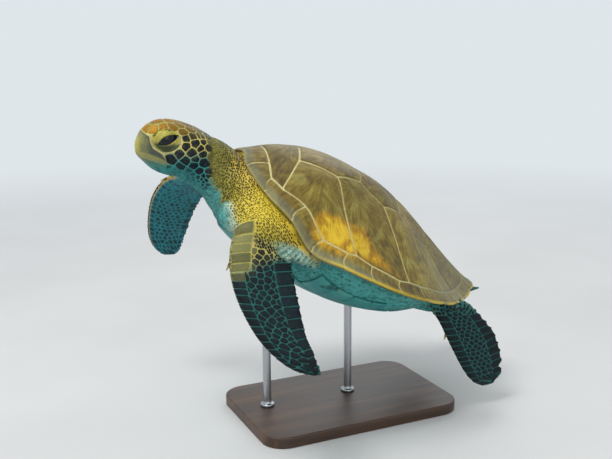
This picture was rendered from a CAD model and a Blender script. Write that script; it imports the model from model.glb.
# %% [markdown]
# # A green sea turtle, swimming with its head up
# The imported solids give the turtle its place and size. Here they get their looks: one soft skin, a
# shell of separate horny plates, thousands of small scales that lie on the skin, eyes, beak and claws.
# Every piece is worked out in the turtle's own frame (x forward, y to its left, z up, in millimetres),
# where the animal is level and even on both sides, and is turned into the stand's frame at the end.

import math

import bmesh
import bpy
import numpy as np
from mathutils import Matrix, Vector, geometry, noise
from mathutils.bvhtree import BVHTree
from mathutils.kdtree import KDTree


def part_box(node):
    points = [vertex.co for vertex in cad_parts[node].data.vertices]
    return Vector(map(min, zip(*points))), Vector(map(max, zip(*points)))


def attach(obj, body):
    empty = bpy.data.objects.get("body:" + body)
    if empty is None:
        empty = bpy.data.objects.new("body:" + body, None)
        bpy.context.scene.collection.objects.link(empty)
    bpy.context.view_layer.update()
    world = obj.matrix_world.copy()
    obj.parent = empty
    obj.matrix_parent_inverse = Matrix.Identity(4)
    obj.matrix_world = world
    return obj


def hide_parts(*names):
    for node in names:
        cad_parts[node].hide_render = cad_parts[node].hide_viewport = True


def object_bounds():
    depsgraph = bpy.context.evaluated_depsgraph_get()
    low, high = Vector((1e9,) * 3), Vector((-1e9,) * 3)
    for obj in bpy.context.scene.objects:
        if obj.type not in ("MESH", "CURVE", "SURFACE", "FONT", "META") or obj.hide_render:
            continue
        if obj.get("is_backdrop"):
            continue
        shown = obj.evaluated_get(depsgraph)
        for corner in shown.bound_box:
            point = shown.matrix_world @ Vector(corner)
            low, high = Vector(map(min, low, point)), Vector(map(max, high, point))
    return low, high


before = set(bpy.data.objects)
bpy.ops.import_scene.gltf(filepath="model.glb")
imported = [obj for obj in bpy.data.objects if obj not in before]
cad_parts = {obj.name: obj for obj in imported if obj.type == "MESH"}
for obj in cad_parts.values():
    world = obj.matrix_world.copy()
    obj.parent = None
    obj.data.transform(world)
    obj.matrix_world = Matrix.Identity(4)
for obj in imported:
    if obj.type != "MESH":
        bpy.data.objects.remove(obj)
cad_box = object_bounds()
print("CAD box", cad_box, "nodes", len(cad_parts))

# %% [markdown]
# ## The turtle's own frame
# The turtle hangs on its stand with its nose up and its left side down, so level measures would be hard
# to read in the stand's frame. One matrix carries points from the body's frame to the stand's, and a
# second one carries the head's frame, which droops a little, to the body's.

# %% Frames of the body and the head
MM = 0.001
BODY_HEIGHT = 338
BODY_SHIFT_Y = -12
NOSE_UP = math.radians(28.3)
LEFT_DOWN = math.radians(10.8)
HEAD_AT = np.array([370.0, 0.0, 35.0])
HEAD_DROP = math.radians(26)

BODY_TURN = (
    Matrix.Rotation(-math.pi / 2, 3, "Z")
    @ Matrix.Rotation(-NOSE_UP, 3, "Y")
    @ Matrix.Rotation(-LEFT_DOWN, 3, "X")
)
TURN = np.array(BODY_TURN)
SHIFT = np.array([0.0, BODY_SHIFT_Y, BODY_HEIGHT])
HEAD_TURN = np.array(Matrix.Rotation(HEAD_DROP, 3, "Y"))


def to_stand(points):
    """Body millimetres to metres in the stand's frame."""
    return (np.asarray(points, float) @ TURN.T + SHIFT) * MM


def from_head(points):
    """Points of the head's own frame, in the turtle's frame."""
    return np.asarray(points, float) @ HEAD_TURN.T + HEAD_AT


def to_head(points):
    """The turtle's points, in the head's own frame."""
    return (np.asarray(points, float) - HEAD_AT) @ HEAD_TURN


print("snout at", to_stand(from_head([[73, 0, 4]]))[0].round(3))

# %% [markdown]
# ## The camera
# It stands ahead of the turtle's left shoulder and a little above it, and looks at the middle of the
# body. The small shift only places the turtle in the picture.

# %% Camera
VIEW_TURN = math.radians(63.7)
VIEW_RISE = math.radians(12.5)
VIEW_DISTANCE = 1.658
FIELD_OF_VIEW = math.radians(40)
SENSOR = 36
SHIFT_RIGHT = -0.0462
SHIFT_UP = 0.0266

target = Vector(to_stand([[0, 0, 0]])[0])
away = Vector((
    math.sin(VIEW_TURN) * math.cos(VIEW_RISE),
    -math.cos(VIEW_TURN) * math.cos(VIEW_RISE),
    math.sin(VIEW_RISE),
))
camera = bpy.data.objects.new("camera", bpy.data.cameras.new("camera"))
bpy.context.scene.collection.objects.link(camera)
camera.location = target + away * VIEW_DISTANCE
camera.rotation_euler = (-away).to_track_quat("-Z", "Y").to_euler()
camera.data.sensor_width = SENSOR
camera.data.lens = SENSOR / 2 / math.tan(FIELD_OF_VIEW / 2)
camera.data.shift_x = SHIFT_RIGHT
camera.data.shift_y = SHIFT_UP
bpy.context.scene.camera = camera
bpy.context.scene.view_settings.view_transform = "Standard"
print("camera at", camera.location)

# %% [markdown]
# ## Writing shaders as sums
# A finish is easier to read as arithmetic than as a web of nodes. A `Wire` is one output of a node, and
# adding or multiplying wires adds the Math node that does it. A `Finish` is one material: its `node`
# method makes any node, with the node's settings first and its sockets after them.

# %% A small language for shaders
def linear(hex_colour):
    """A colour as written on a paint chart, in the linear values that shaders use."""
    channels = [int(hex_colour[i:i + 2], 16) / 255 for i in (1, 3, 5)]
    return tuple(c / 12.92 if c <= 0.04045 else ((c + 0.055) / 1.055) ** 2.4 for c in channels) + (1.0,)


class Wire:
    """One output of a shader node. Arithmetic on it adds Math nodes."""

    def __init__(self, finish, socket):
        self.finish = finish
        self.socket = socket

    def math(self, operation, *values):
        return self.finish.node("ShaderNodeMath", {"operation": operation}, dict(enumerate(values)))

    def __add__(self, other):
        return self.math("ADD", self, other)

    def __sub__(self, other):
        return self.math("SUBTRACT", self, other)

    def __rsub__(self, other):
        return self.math("SUBTRACT", other, self)

    def __mul__(self, other):
        return self.math("MULTIPLY", self, other)

    __radd__ = __add__
    __rmul__ = __mul__

    def step(self, low, high):
        """0 below low and 1 above high, with a smooth rise between them."""
        settings = {"interpolation_type": "SMOOTHSTEP"}
        return self.finish.node("ShaderNodeMapRange", settings, {0: self, 1: low, 2: high})


class Finish:
    """A material with one Principled shader."""

    def __init__(self, name, roughness=0.5, **constants):
        self.material = bpy.data.materials.new(name)
        self.material.use_nodes = True
        self.tree = self.material.node_tree
        self.shader = self.tree.nodes["Principled BSDF"]
        self.shader.inputs["Roughness"].default_value = roughness
        for socket, value in constants.items():
            self.shader.inputs[socket.replace("_", " ")].default_value = value

    def plug(self, socket, value):
        if isinstance(value, Wire):
            self.tree.links.new(value.socket, socket)
        elif isinstance(value, str):
            socket.default_value = linear(value)
        else:
            socket.default_value = value

    def node(self, kind, settings=None, sockets=None, out=0):
        made = self.tree.nodes.new(kind)
        for key, value in (settings or {}).items():
            if key == "stops":
                ramp = made.color_ramp
                while len(ramp.elements) < len(value):
                    ramp.elements.new(0.5)
                for element, (position, colour) in zip(ramp.elements, value):
                    element.position = position
                    element.color = linear(colour)
            else:
                setattr(made, key, value)
        for key, value in (sockets or {}).items():
            self.plug(made.inputs[key], value)
        return Wire(self, made.outputs[out])

    def place(self):
        return self.node("ShaderNodeTexCoord", out="Object")

    def own(self, name):
        """A number that the mesh carries on its points."""
        return self.node("ShaderNodeAttribute", {"attribute_name": name}, out="Fac")

    def tint(self, name):
        """A colour that the mesh carries on its points."""
        return self.node("ShaderNodeAttribute", {"attribute_name": name}, out="Color")

    def stretched(self, scale, turn=(0, 0, 0)):
        sockets = {"Vector": self.place(), "Scale": scale, "Rotation": turn}
        return self.node("ShaderNodeMapping", None, sockets)

    def joined(self, x, y, z):
        return self.node("ShaderNodeCombineXYZ", None, {0: x, 1: y, 2: z})

    def noise(self, scale, detail=3.0, roughness=0.5, vector=None, distortion=0.0):
        sockets = {"Scale": scale, "Detail": detail, "Roughness": roughness, "Distortion": distortion}
        sockets["Vector"] = vector or self.place()
        return self.node("ShaderNodeTexNoise", None, sockets)

    def cells(self, scale):
        sockets = {"Vector": self.place(), "Scale": scale}
        return self.node("ShaderNodeTexVoronoi", None, sockets, out="Distance")

    def mix(self, factor, first, second, blend_type="MIX"):
        settings = {"data_type": "RGBA", "blend_type": blend_type}
        return self.node("ShaderNodeMix", settings, {0: factor, 6: first, 7: second}, out=2)

    def ramp(self, value, *stops):
        return self.node("ShaderNodeValToRGB", {"stops": stops}, {0: value})

    def bump(self, height, distance, strength):
        sockets = {"Height": height, "Distance": distance, "Strength": strength}
        return self.node("ShaderNodeBump", None, sockets)

    def set(self, **values):
        for socket, value in values.items():
            self.plug(self.shader.inputs[socket.replace("_", " ")], value)
        return self.material


print("Base colour of a mid grey:", linear("#808080")[0])

# %% [markdown]
# ## Curves through rows
# The body is drawn as rows of a few numbers: an edge, a width, a height. A Catmull-Rom curve runs
# through every row, so the same few rows give a coarse solid or a fine skin.

# %% Rows and curves
def along(rows, t, closed=False):
    """The rows' values at t, counted in rows."""
    rows = np.asarray(rows, float)
    t = np.asarray(t, float)
    count = len(rows)
    i = np.floor(t).astype(int) if closed else np.clip(np.floor(t).astype(int), 0, count - 2)
    f = (t - i)[..., None]
    wrap = (lambda k: k % count) if closed else (lambda k: np.clip(k, 0, count - 1))
    a, b, c, d = (rows[wrap(i + k)] for k in (-1, 0, 1, 2))
    cube = 3 * b - a - 3 * c + d
    return b + 0.5 * ((c - a) * f + (2 * a - 5 * b + 4 * c - d) * f**2 + cube * f**3)


def finer(rows, steps):
    return along(rows, np.linspace(0, len(rows) - 1, (len(rows) - 1) * steps + 1))


def smooth(value, low, high):
    """0 at low, 1 at high, with a smooth rise between them."""
    t = np.clip((np.asarray(value, float) - low) / (high - low), 0, 1)
    return t * t * (3 - 2 * t)


def unit(vector):
    return np.asarray(vector, float) / np.linalg.norm(vector)


def unit_rows(vectors):
    """Each row as a vector of length 1."""
    return vectors / np.maximum(np.linalg.norm(vectors, axis=1), 1e-9)[:, None]


def mirrored(points):
    """Points laid over to the other side."""
    return np.asarray(points, float) * [1, -1, 1]


def circle(count):
    """Angles that share a full turn evenly."""
    return np.linspace(0, 2 * np.pi, count, endpoint=False)


HEAD_ROWS = [
    [73, 7, 12, -5], [69, 14, 24, -12], [62, 21, 35, -20], [50, 30, 45, -31], [35, 37, 51, -40],
    [15, 43, 52, -46], [-8, 47, 47, -49], [-30, 47, 39, -52], [-56, 42, 25, -52],
]
NECK_ROWS = [
    [346, 42, 76, -14], [318, 47, 82, -14], [290, 58, 81, -22], [262, 86, 74, -38],
    [235, 122, 60, -48], [200, 140, 54, -52], [150, 130, 50, -50],
]
BELLY_ROWS = [
    [252, 82, 62, -46], [230, 104, 52, -57], [190, 122, 34, -71], [140, 148, 12, -81],
    [90, 178, 6, -88], [20, 186, 5, -91], [-50, 180, 6, -84], [-120, 158, 9, -67],
    [-180, 118, 12, -45], [-228, 78, 16, -24], [-262, 44, 26, 2],
]
TAIL_ROWS = [
    [-215, 38, 22, -34], [-262, 26, 32, -12], [-305, 16, 37, 8], [-334, 10, 45, 28], [-354, 5, 54, 44],
    [-364, 2, 57, 52],
]
SHOULDER_ROWS = [
    [228, 84, -16, 92, 84, 10, 40], [254, 128, -18, 130, 134, 16, 38], [267, 158, -24, 166, 168, 27, 29],
]
LEFT_FORE_ROWS = SHOULDER_ROWS + [
    [266, 181, -53, 168, 192, -10, 18], [254, 204, -84, 157, 216, -37, 13],
    [226, 229, -117, 132, 241, -73, 10], [181, 254, -149, 110, 265, -105, 8],
    [137, 274, -165, 87, 285, -127, 6], [102, 286, -168, 68, 294, -144, 4.5],
    [73, 291, -163, 62, 296, -154, 2.5],
]
RIGHT_FORE_ROWS = SHOULDER_ROWS + [
    [298, 178, -44, 196, 190, -28, 19], [308, 198, -72, 206, 216, -62, 14],
    [304, 218, -112, 200, 238, -96, 11], [284, 242, -158, 187, 262, -140, 9],
    [258, 262, -198, 175, 282, -178, 7], [230, 276, -222, 166, 294, -208, 5],
    [200, 288, -234, 170, 300, -224, 2.5],
]
LEFT_HIND_ROWS = [
    [-120, 70, -18, -232, 66, 2, 30], [-158, 98, -14, -250, 92, 18, 27], [-186, 118, -12, -268, 112, 32, 20],
    [-214, 129, -22, -306, 122, 24, 13], [-268, 139, -58, -356, 132, 4, 9],
    [-316, 148, -88, -396, 142, -34, 7], [-352, 153, -103, -414, 146, -64, 5],
    [-384, 152, -104, -408, 148, -88, 2.5],
]
RIGHT_HIND_ROWS = [
    [-120, 70, -18, -232, 66, 2, 30], [-160, 98, -16, -250, 88, 14, 27], [-194, 126, -14, -268, 96, 22, 20],
    [-228, 146, -12, -292, 98, 14, 13], [-282, 174, -16, -330, 108, 10, 9],
    [-336, 190, -20, -372, 130, 6, 7], [-376, 188, -20, -398, 152, -4, 5],
    [-398, 180, -18, -404, 168, -10, 2.5],
]
BODY_FORMS = {  # rows, how square the section is, and its widest place as a share of the height
    "head": (HEAD_ROWS, 2.3, 0.45), "neck": (NECK_ROWS, 2.2, 0.5),
    "belly": (BELLY_ROWS, 1.9, 0.92), "tail": (TAIL_ROWS, 2, 0.5),
}
ACROSS = np.array([1, -1, 1, 1, -1, 1, 1])  # lays a row of a left limb over to the right side
LIMBS = {
    "fore_flipper_left": (np.array(LEFT_FORE_ROWS, float), 1),
    "fore_flipper_right": (np.array(RIGHT_FORE_ROWS, float) * ACROSS, -1),
    "hind_flipper_left": (np.array(LEFT_HIND_ROWS, float), 1),
    "hind_flipper_right": (np.array(RIGHT_HIND_ROWS, float) * ACROSS, -1),
}
print("rows of the limbs:", [len(rows) for rows, _ in LIMBS.values()])

# %% [markdown]
# ## Closed shapes from rings
# A loft joins rings of equal length and closes both ends with a fan. Head, neck, belly and tail are
# rings of a rounded square; a flipper's rings are wing sections, thick in front and thin behind.

# %% Lofts
def loft(rings):
    """Points and faces of a closed skin over rings of equal length."""
    rings = np.asarray(rings, float)
    count, sides = rings.shape[:2]
    points = np.vstack([rings.reshape(-1, 3), rings[0].mean(0), rings[-1].mean(0)])
    first, last = count * sides, (count - 1) * sides
    faces = []
    for j in range(sides):
        k = (j + 1) % sides
        faces.append((first, k, j))
        faces.append((first + 1, last + j, last + k))
        for i in range(count - 1):
            a, b = i * sides, (i + 1) * sides
            faces.append((a + j, a + k, b + k, b + j))
    return points, faces


def rounded(value, power):
    return np.sign(value) * np.abs(value) ** (2 / power)


def cross_rings(part, grow, sides=64, steps=6):
    """Rings across the head, neck, belly or tail."""
    rows, power, widest = BODY_FORMS[part]
    angle = -2 * np.pi * np.arange(sides) / sides
    c, s = rounded(np.cos(angle), power), rounded(np.sin(angle), power)
    rings = []
    for x, half, top, bottom in finer(rows, steps):
        middle = bottom + (top - bottom) * widest
        reach = np.where(s > 0, top - middle, middle - bottom) + grow
        rings.append(np.column_stack([np.full(sides, x), (half + grow) * c, middle + reach * s]))
    return rings


LEAST_HALF = 2.9  # half of a flipper's thickness at its thin edge


def section_power(thickness):
    """Thin wing sections have blunter edges."""
    return 2 + np.clip((13 - thickness) / 8, 0, 1.2)


def wing_section(row, onward, angle, grow):
    """Points of wing sections; angle 0 is the leading edge. The arguments may be arrays of any shape."""
    lead, trail, thickness = row[..., :3], row[..., 3:6], row[..., 6]
    power = section_power(thickness)
    chord = (lead - trail) / 2
    length = np.linalg.norm(chord, axis=-1)[..., None]
    normal = np.cross(onward, chord)
    normal /= np.linalg.norm(normal, axis=-1)[..., None]
    taper = np.clip(0.45 - thickness / 120, 0, 0.35)
    c, s = rounded(np.cos(angle), power), rounded(np.sin(angle), power)
    lift = np.maximum(thickness * (1 - taper + taper * c), LEAST_HALF) + grow
    grow = np.asarray(grow)[..., None]
    forward = chord * (length + grow) / length * c[..., None]
    return (lead + trail) / 2 + forward + normal * (lift * s)[..., None]


ROW_STEP = 1 / 6


def limb_points(rows, t, angle, grow):
    """Points on a limb at places along its rows and angles round it."""
    ahead = along(rows, np.minimum(t + ROW_STEP, len(rows) - 1))
    behind = along(rows, np.maximum(t - ROW_STEP, 0))
    onward = ahead[..., :3] + ahead[..., 3:6] - behind[..., :3] - behind[..., 3:6]
    return wing_section(along(rows, t), onward, angle, grow)


def limb_rings(rows, grow=0.0, sides=64):
    """Rings across a limb, from its root to its tip."""
    t = np.arange(0, len(rows) - 1 + ROW_STEP / 2, ROW_STEP)
    places, angles = np.meshgrid(t, 2 * np.pi * np.arange(sides) / sides, indexing="ij")
    return limb_points(rows, places, angles, grow)


def join_shapes(shapes):
    """Several closed shapes as one list of points and faces."""
    points, faces, start = [], [], 0
    for shape_points, shape_faces in shapes:
        points.append(shape_points)
        faces += [tuple(i + start for i in face) for face in shape_faces]
        start += len(shape_points)
    return np.vstack(points), faces


print("rings in a fore flipper:", len(limb_rings(LIMBS["fore_flipper_left"][0])))

# %% [markdown]
# ## The shell's surface
# The shell is a dome over a closed rim. Every point of it is a share of the way from the crown to the
# rim, and the fall is steep over the nape and gentle towards the tail. Turned into a height above the
# plan, it lets each plate be drawn flat, from above, and then lifted on to the dome.

# %% Dome and rim
DOME_TOP = 153
DOME_CENTRE = np.array([20.0, 0.0])
FRONT_LENGTH = 242
REAR_LENGTH = 357
HALF_WIDTH = 226
RIM_HALF = np.array([
    [264, 0, 88], [264, 50, 74], [240, 119, 57], [194, 173, 41], [145, 205, 12], [86, 222, 15],
    [22, 226, 16], [-45, 220, 17], [-116, 203, 21], [-178, 173, 25], [-233, 131, 28],
    [-285, 80, 36], [-325, 30, 53], [-340, 0, 60],
], float)
RIM = np.vstack([RIM_HALF, mirrored(RIM_HALF[1:-1][::-1])])
RIM_FINE = along(RIM, np.arange(0, len(RIM), 1 / 16), closed=True)
RIM_BEARING = np.unwrap(np.arctan2(RIM_FINE[:, 1], RIM_FINE[:, 0] - DOME_CENTRE[0]))


def rim_towards(x, y):
    """The rim's point in the direction of x, y from the crown."""
    bearing = np.mod(np.arctan2(y, np.asarray(x, float) - DOME_CENTRE[0]), 2 * np.pi)
    closed = np.append(RIM_BEARING, RIM_BEARING[0] + 2 * np.pi)
    return np.stack([
        np.interp(bearing, closed, np.append(RIM_FINE[:, k], RIM_FINE[0, k])) for k in range(3)
    ], axis=-1)


def fall(r, rim):
    """Share of the dome's height that is lost at a share of the way to the rim."""
    dx = rim[..., 0] - DOME_CENTRE[0]
    length = np.where(dx > 0, FRONT_LENGTH, REAR_LENGTH)
    bearing = np.arctan2(np.abs(rim[..., 1]) / HALF_WIDTH, dx / length)
    front = np.maximum(np.cos(bearing), 0) ** 2
    rear = np.maximum(-np.cos(bearing), 0) ** 2
    side = 1 - front - rear
    a = 3.3 * front + 1.75 * side + 1.7 * rear
    b = 1.2 * front + 1.4 * side + 1.7 * rear
    return 1 - np.maximum(1 - r**a, 0) ** b


def dome_share(x, y):
    """How far x, y is from the crown (0) to the rim (1), and the rim's point that way."""
    rim = rim_towards(x, y)
    reach = np.hypot(rim[..., 0] - DOME_CENTRE[0], rim[..., 1])
    return np.hypot(np.asarray(x, float) - DOME_CENTRE[0], y) / reach, rim


def dome_height(x, y):
    """Height of the dome at x, y."""
    share, rim = dome_share(x, y)
    return DOME_TOP + (rim[..., 2] - DOME_TOP) * fall(np.minimum(share, 1), rim)


def on_dome(plan):
    """Plan points lifted onto the dome."""
    return np.column_stack([plan, dome_height(plan[:, 0], plan[:, 1])])


def dome_normal(plan):
    """The dome's outward direction at plan points."""
    step = 0.5
    x, y = plan[:, 0], plan[:, 1]
    slope_x = (dome_height(x + step, y) - dome_height(x - step, y)) / (2 * step)
    slope_y = (dome_height(x, y + step) - dome_height(x, y - step)) / (2 * step)
    return unit_rows(np.column_stack([-slope_x, -slope_y, np.ones(len(plan))]))


RIM_INNER = 0.86
HOLLOW_LEVEL = 14


def under_level(share, rim, drop):
    """Height of the shell's underside: a drop below the rim's edge, and level farther in."""
    flat = smooth(RIM_INNER - share, -0.01, 0.5)
    return (rim[..., 2] - drop) * (1 - flat) + HOLLOW_LEVEL * flat


def under_point(r, rim, drop):
    """A point of the shell's underside, at a share of the way to the rim."""
    x = DOME_CENTRE[0] + (rim[..., 0] - DOME_CENTRE[0]) * r
    return np.stack([x, rim[..., 1] * r, under_level(r, rim, drop)], axis=-1)


print("dome height above the crown and at 100, 100:", dome_height(20, 0), dome_height(100, 100))

# %% [markdown]
# ## One helper for every piece
# All pieces end the same way: points in body millimetres become a mesh in metres, numbers such as the
# distance from a seam are stored on the points for the finish to read, and the piece rides on the body.

# %% Making a piece
def mesh_object(name, points, faces, numbers=None):
    """A mesh with numbers, or colours in rows of three, on its points."""
    mesh = bpy.data.meshes.new(name)
    mesh.from_pydata(np.asarray(points, float).tolist(), [], [tuple(map(int, f)) for f in faces])
    for key, values in (numbers or {}).items():
        values = np.asarray(values, np.float32)
        if values.ndim == 2:
            layer = mesh.attributes.new(key, "FLOAT_COLOR", "POINT")
            opaque = np.column_stack([values, np.ones(len(values), np.float32)])
            layer.data.foreach_set("color", opaque.ravel())
        else:
            layer = mesh.attributes.new(key, "FLOAT", "POINT")
            layer.data.foreach_set("value", values)
    mesh.polygons.foreach_set("use_smooth", [True] * len(mesh.polygons))
    made = bpy.data.objects.new(name, mesh)
    bpy.context.scene.collection.objects.link(made)
    return made


def piece(name, points, faces, finish, nodes=(), numbers=None, placed=to_stand):
    """One visible piece, and the nodes that it stands for."""
    made = mesh_object(name, placed(points), faces, numbers)
    made.data.materials.append(finish)
    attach(made, "root")
    if nodes:
        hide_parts(*nodes)
    return made


def evaluated(made):
    """The mesh with its modifiers applied, as points and faces; the helper object goes away."""
    depsgraph = bpy.context.evaluated_depsgraph_get()
    mesh = bpy.data.meshes.new_from_object(made.evaluated_get(depsgraph))
    points = np.empty(len(mesh.vertices) * 3)
    mesh.vertices.foreach_get("co", points)
    faces = [tuple(p.vertices) for p in mesh.polygons]
    bpy.data.objects.remove(made)
    bpy.data.meshes.remove(mesh)
    return points.reshape(-1, 3), faces


def fused(shapes, voxel):
    """One closed skin round several overlapping shapes, as squares about one voxel wide."""
    points, faces = join_shapes(shapes)
    made = mesh_object("fused", points * MM, faces)
    remesh = made.modifiers.new("fuse", "REMESH")
    remesh.mode = "VOXEL"
    remesh.voxel_size = voxel * MM
    new_points, new_faces = evaluated(made)
    return new_points / MM, new_faces


def edge_pairs(faces):
    pairs = {(min(a, b), max(a, b)) for f in faces for a, b in zip(f, f[1:] + f[:1])}
    return np.array(sorted(pairs))


def relaxed(points, pairs, weight, times):
    """Moves each point towards the middle of its neighbours, by its weight, several times."""
    a, b = pairs[:, 0], pairs[:, 1]
    count = np.bincount(a, minlength=len(points)) + np.bincount(b, minlength=len(points))
    weight = np.broadcast_to(weight, len(points))[:, None]
    for _ in range(times):
        total = np.column_stack([
            np.bincount(a, points[b, k], len(points)) + np.bincount(b, points[a, k], len(points))
            for k in range(3)
        ])
        points = points + (total / count[:, None] - points) * weight
    return points


def point_normals(points, faces):
    """Normals of points, from the faces round them."""
    normals = np.zeros_like(points)
    for size in (3, 4):
        group = np.array([f for f in faces if len(f) == size])
        if len(group):
            corners = points[group]
            across = np.cross(corners[:, 2] - corners[:, 0], corners[:, -1] - corners[:, 1])
            for k in range(size):
                np.add.at(normals, group[:, k], across)
    return unit_rows(normals)


SQUARE = np.array([[0.0, 0, 0], [1, 0, 0], [1, 1, 0], [0, 1, 0]])
print("normal of a level square:", point_normals(SQUARE, [[0, 1, 2, 3]])[0])


# %% [markdown]
# ## The skin's plain form
# Head, neck, belly, tail and four flippers are lofts that run into each other. A voxel remesh fuses
# them into one closed skin. It leaves steps and hard valleys where two lofts met, so the skin is
# relaxed there, and everywhere else it is drawn back on to the lofts. The skin lies a little inside the
# solids, by the thickness of the scales that cover it.

# %% Fuse the skin
SKIN_DEPTH = 0.9
SKIN_VOXEL = 3.4
SLAB_DROP = 17.5
ROLL_DROP = 19
ROLL_RADIUS = 11
ROLL_REACH = math.radians(62)
JOINTS = [  # places where lofts meet: x, |y|, z, and how far the softening reaches
    (250, 60, 25, 62), (236, 112, 20, 56), (232, 128, -6, 62), (215, 150, 14, 44),
    (150, 150, 0, 44), (100, 130, -20, 40),
    (322, 42, 22, 34), (318, 0, -12, 36), (322, 20, 62, 26), (-175, 110, 5, 48), (-262, 20, 15, 30),
    (-130, 100, -30, 40), (-205, 80, 20, 36), (150, 176, 0, 44), (100, 176, -8, 34),
]
FILLS = [  # soft mounds between neck, shoulder and rim: x, |y|, z, then the three radii
    (246, 62, 34, 34, 48, 34), (232, 104, 16, 36, 40, 34), (196, 140, 4, 46, 36, 30),
    (252, 112, -6, 36, 36, 32), (215, 146, 8, 40, 28, 26), (244, 30, 50, 26, 40, 32),
    (-215, 100, 14, 44, 40, 18), (160, 128, -30, 60, 46, 34), (132, 168, -6, 52, 33, 24),
]


def under_slab():
    """The flesh that fills the rim's hollow, from below."""
    rim = RIM_FINE[::4]
    under = [(0.93, 5), (0.86, 9), (0.845, SLAB_DROP), (0.6, SLAB_DROP), (0.1, 18)]
    over = [(0.1, 2), (0.6, 2), (0.86, 2)]
    rings = [under_point(r, rim, drop) for r, drop in under + over]
    return loft(rings)


def mound(x, y, z, rx, ry, rz):
    """A squashed ball of flesh."""
    angles = np.linspace(0.15, np.pi - 0.15, 12)
    around = circle(24)
    return loft([
        np.column_stack([
            np.full(24, x + rx * np.cos(a)),
            y + ry * np.sin(a) * np.cos(around),
            z + rz * np.sin(a) * np.sin(around),
        ]) for a in angles
    ])


def rim_roll():
    """A roll of loose skin that closes the gap under the front of the rim."""
    rings = []
    bearings = np.linspace(-ROLL_REACH, ROLL_REACH, 60)
    rim = rim_towards(DOME_CENTRE[0] + 100 * np.cos(bearings), 100 * np.sin(bearings))
    around = circle(16)
    for spot, bearing in zip(rim, bearings):
        nape = 1 - smooth(abs(spot[1]), 25, 75)
        middle = under_point(0.93, spot, ROLL_DROP - 9 * nape)
        out = unit([spot[0] - DOME_CENTRE[0], spot[1], 0])
        fade = max(math.cos(bearing / ROLL_REACH * math.pi / 2), 0) ** 0.35
        radius = (ROLL_RADIUS + 1.5 * nape) * fade + 0.5
        ring = middle + radius * (np.cos(around)[:, None] * out + np.sin(around)[:, None] * [0, 0, 1])
        rings.append(ring)
    return loft(rings)


def editable(points, faces):
    """A shape as a mesh whose faces can be turned, split and taken away."""
    mesh = bmesh.new()
    verts = [mesh.verts.new(p) for p in points]
    for face in faces:
        mesh.faces.new([verts[i] for i in face])
    mesh.verts.index_update()
    return mesh


def oriented(points, faces):
    """Turns a closed shape's faces outwards."""
    mesh = editable(points, faces)
    bmesh.ops.recalc_face_normals(mesh, faces=mesh.faces)
    result = [tuple(v.index for v in f.verts) for f in mesh.faces]
    mesh.free()
    return points, result


def flesh_shapes():
    """The closed shapes that are fused into the skin."""
    head, *others = [loft(cross_rings(part, -SKIN_DEPTH)) for part in BODY_FORMS]
    shapes = [(from_head(head[0]), head[1]), *others, under_slab(), rim_roll()]
    shapes += [mound(x, side * y, z, *radii) for x, y, z, *radii in FILLS for side in (1, -1)]
    shapes += [loft(limb_rings(rows, -SKIN_DEPTH)) for rows, _ in LIMBS.values()]
    return [oriented(*shape) for shape in shapes]


PLASTRON_HALF = [[258, 0], [250, 62], [196, 82], [120, 112], [92, 176], [-70, 172], [-104, 116],
                 [-190, 76], [-236, 30], [-240, 0]]
SHIELD_X, SHIELD_HALF = np.array(PLASTRON_HALF[::-1], float).T


def plastron_edge(x):
    """Half width of the belly's shield at x."""
    return np.interp(x, SHIELD_X, SHIELD_HALF)


def hidden(points):
    """True where flesh lies well inside the shell or behind the belly's plates."""
    share, rim = dome_share(points[:, 0], points[:, 1])
    in_shell = (share < 0.87) & (points[:, 2] > under_level(share, rim, SLAB_DROP) + 5)
    shield = plastron_edge(points[:, 0])
    under_belly = (np.abs(points[:, 1]) < np.minimum(shield, 112) - 22) & (points[:, 2] < -20)
    return in_shell | (under_belly & (np.abs(points[:, 0]) < 225))


def without(points, faces, unwanted):
    """Takes away the faces whose points are all unwanted, and closes the hole with large faces."""
    mesh = editable(points, [face for face in faces if not all(unwanted[i] for i in face)])
    bmesh.ops.delete(mesh, geom=[v for v in mesh.verts if not v.link_faces], context="VERTS")
    bmesh.ops.holes_fill(mesh, edges=[e for e in mesh.edges if e.is_boundary])
    bmesh.ops.triangulate(mesh, faces=[f for f in mesh.faces if len(f.verts) > 4])
    return unpacked(mesh)


def unpacked(mesh):
    mesh.verts.index_update()
    points = np.array([v.co for v in mesh.verts])
    faces = [tuple(v.index for v in f.verts) for f in mesh.faces]
    mesh.free()
    return points, faces


skin_shapes = flesh_shapes()
skin_points, skin_faces = fused(skin_shapes, SKIN_VOXEL)
skin_points, skin_faces = without(skin_points, skin_faces, hidden(skin_points))
print("fused skin:", len(skin_points), "points", len(skin_faces), "faces")

# %% Soften the joins and keep the rest true
def near_joints(points):
    weight = np.zeros(len(points))
    for x, y, z, reach in JOINTS:
        away_from = np.hypot(np.hypot(points[:, 0] - x, np.abs(points[:, 1]) - y), points[:, 2] - z)
        weight = np.maximum(weight, 1 - smooth(away_from, reach * 0.55, reach))
    return weight


def surface_of(points, faces):
    """A surface that can be searched for its nearest place."""
    return BVHTree.FromPolygons([Vector(p) for p in points], faces)


def tree_of(points):
    """A search tree that gives the number of the nearest point."""
    tree = KDTree(len(points))
    for number, point in enumerate(points):
        tree.insert(point, number)
    tree.balance()
    return tree


def drawn_to(tree, points, normals, reach):
    """The nearest points of a surface, where it is near and faces the same way."""
    result = points.copy()
    for i, (point, normal) in enumerate(zip(points, normals)):
        spot, facing, _, _ = tree.find_nearest(point, reach)
        if spot is not None and facing.dot(normal) > 0.6:
            result[i] = spot
    return result


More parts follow.
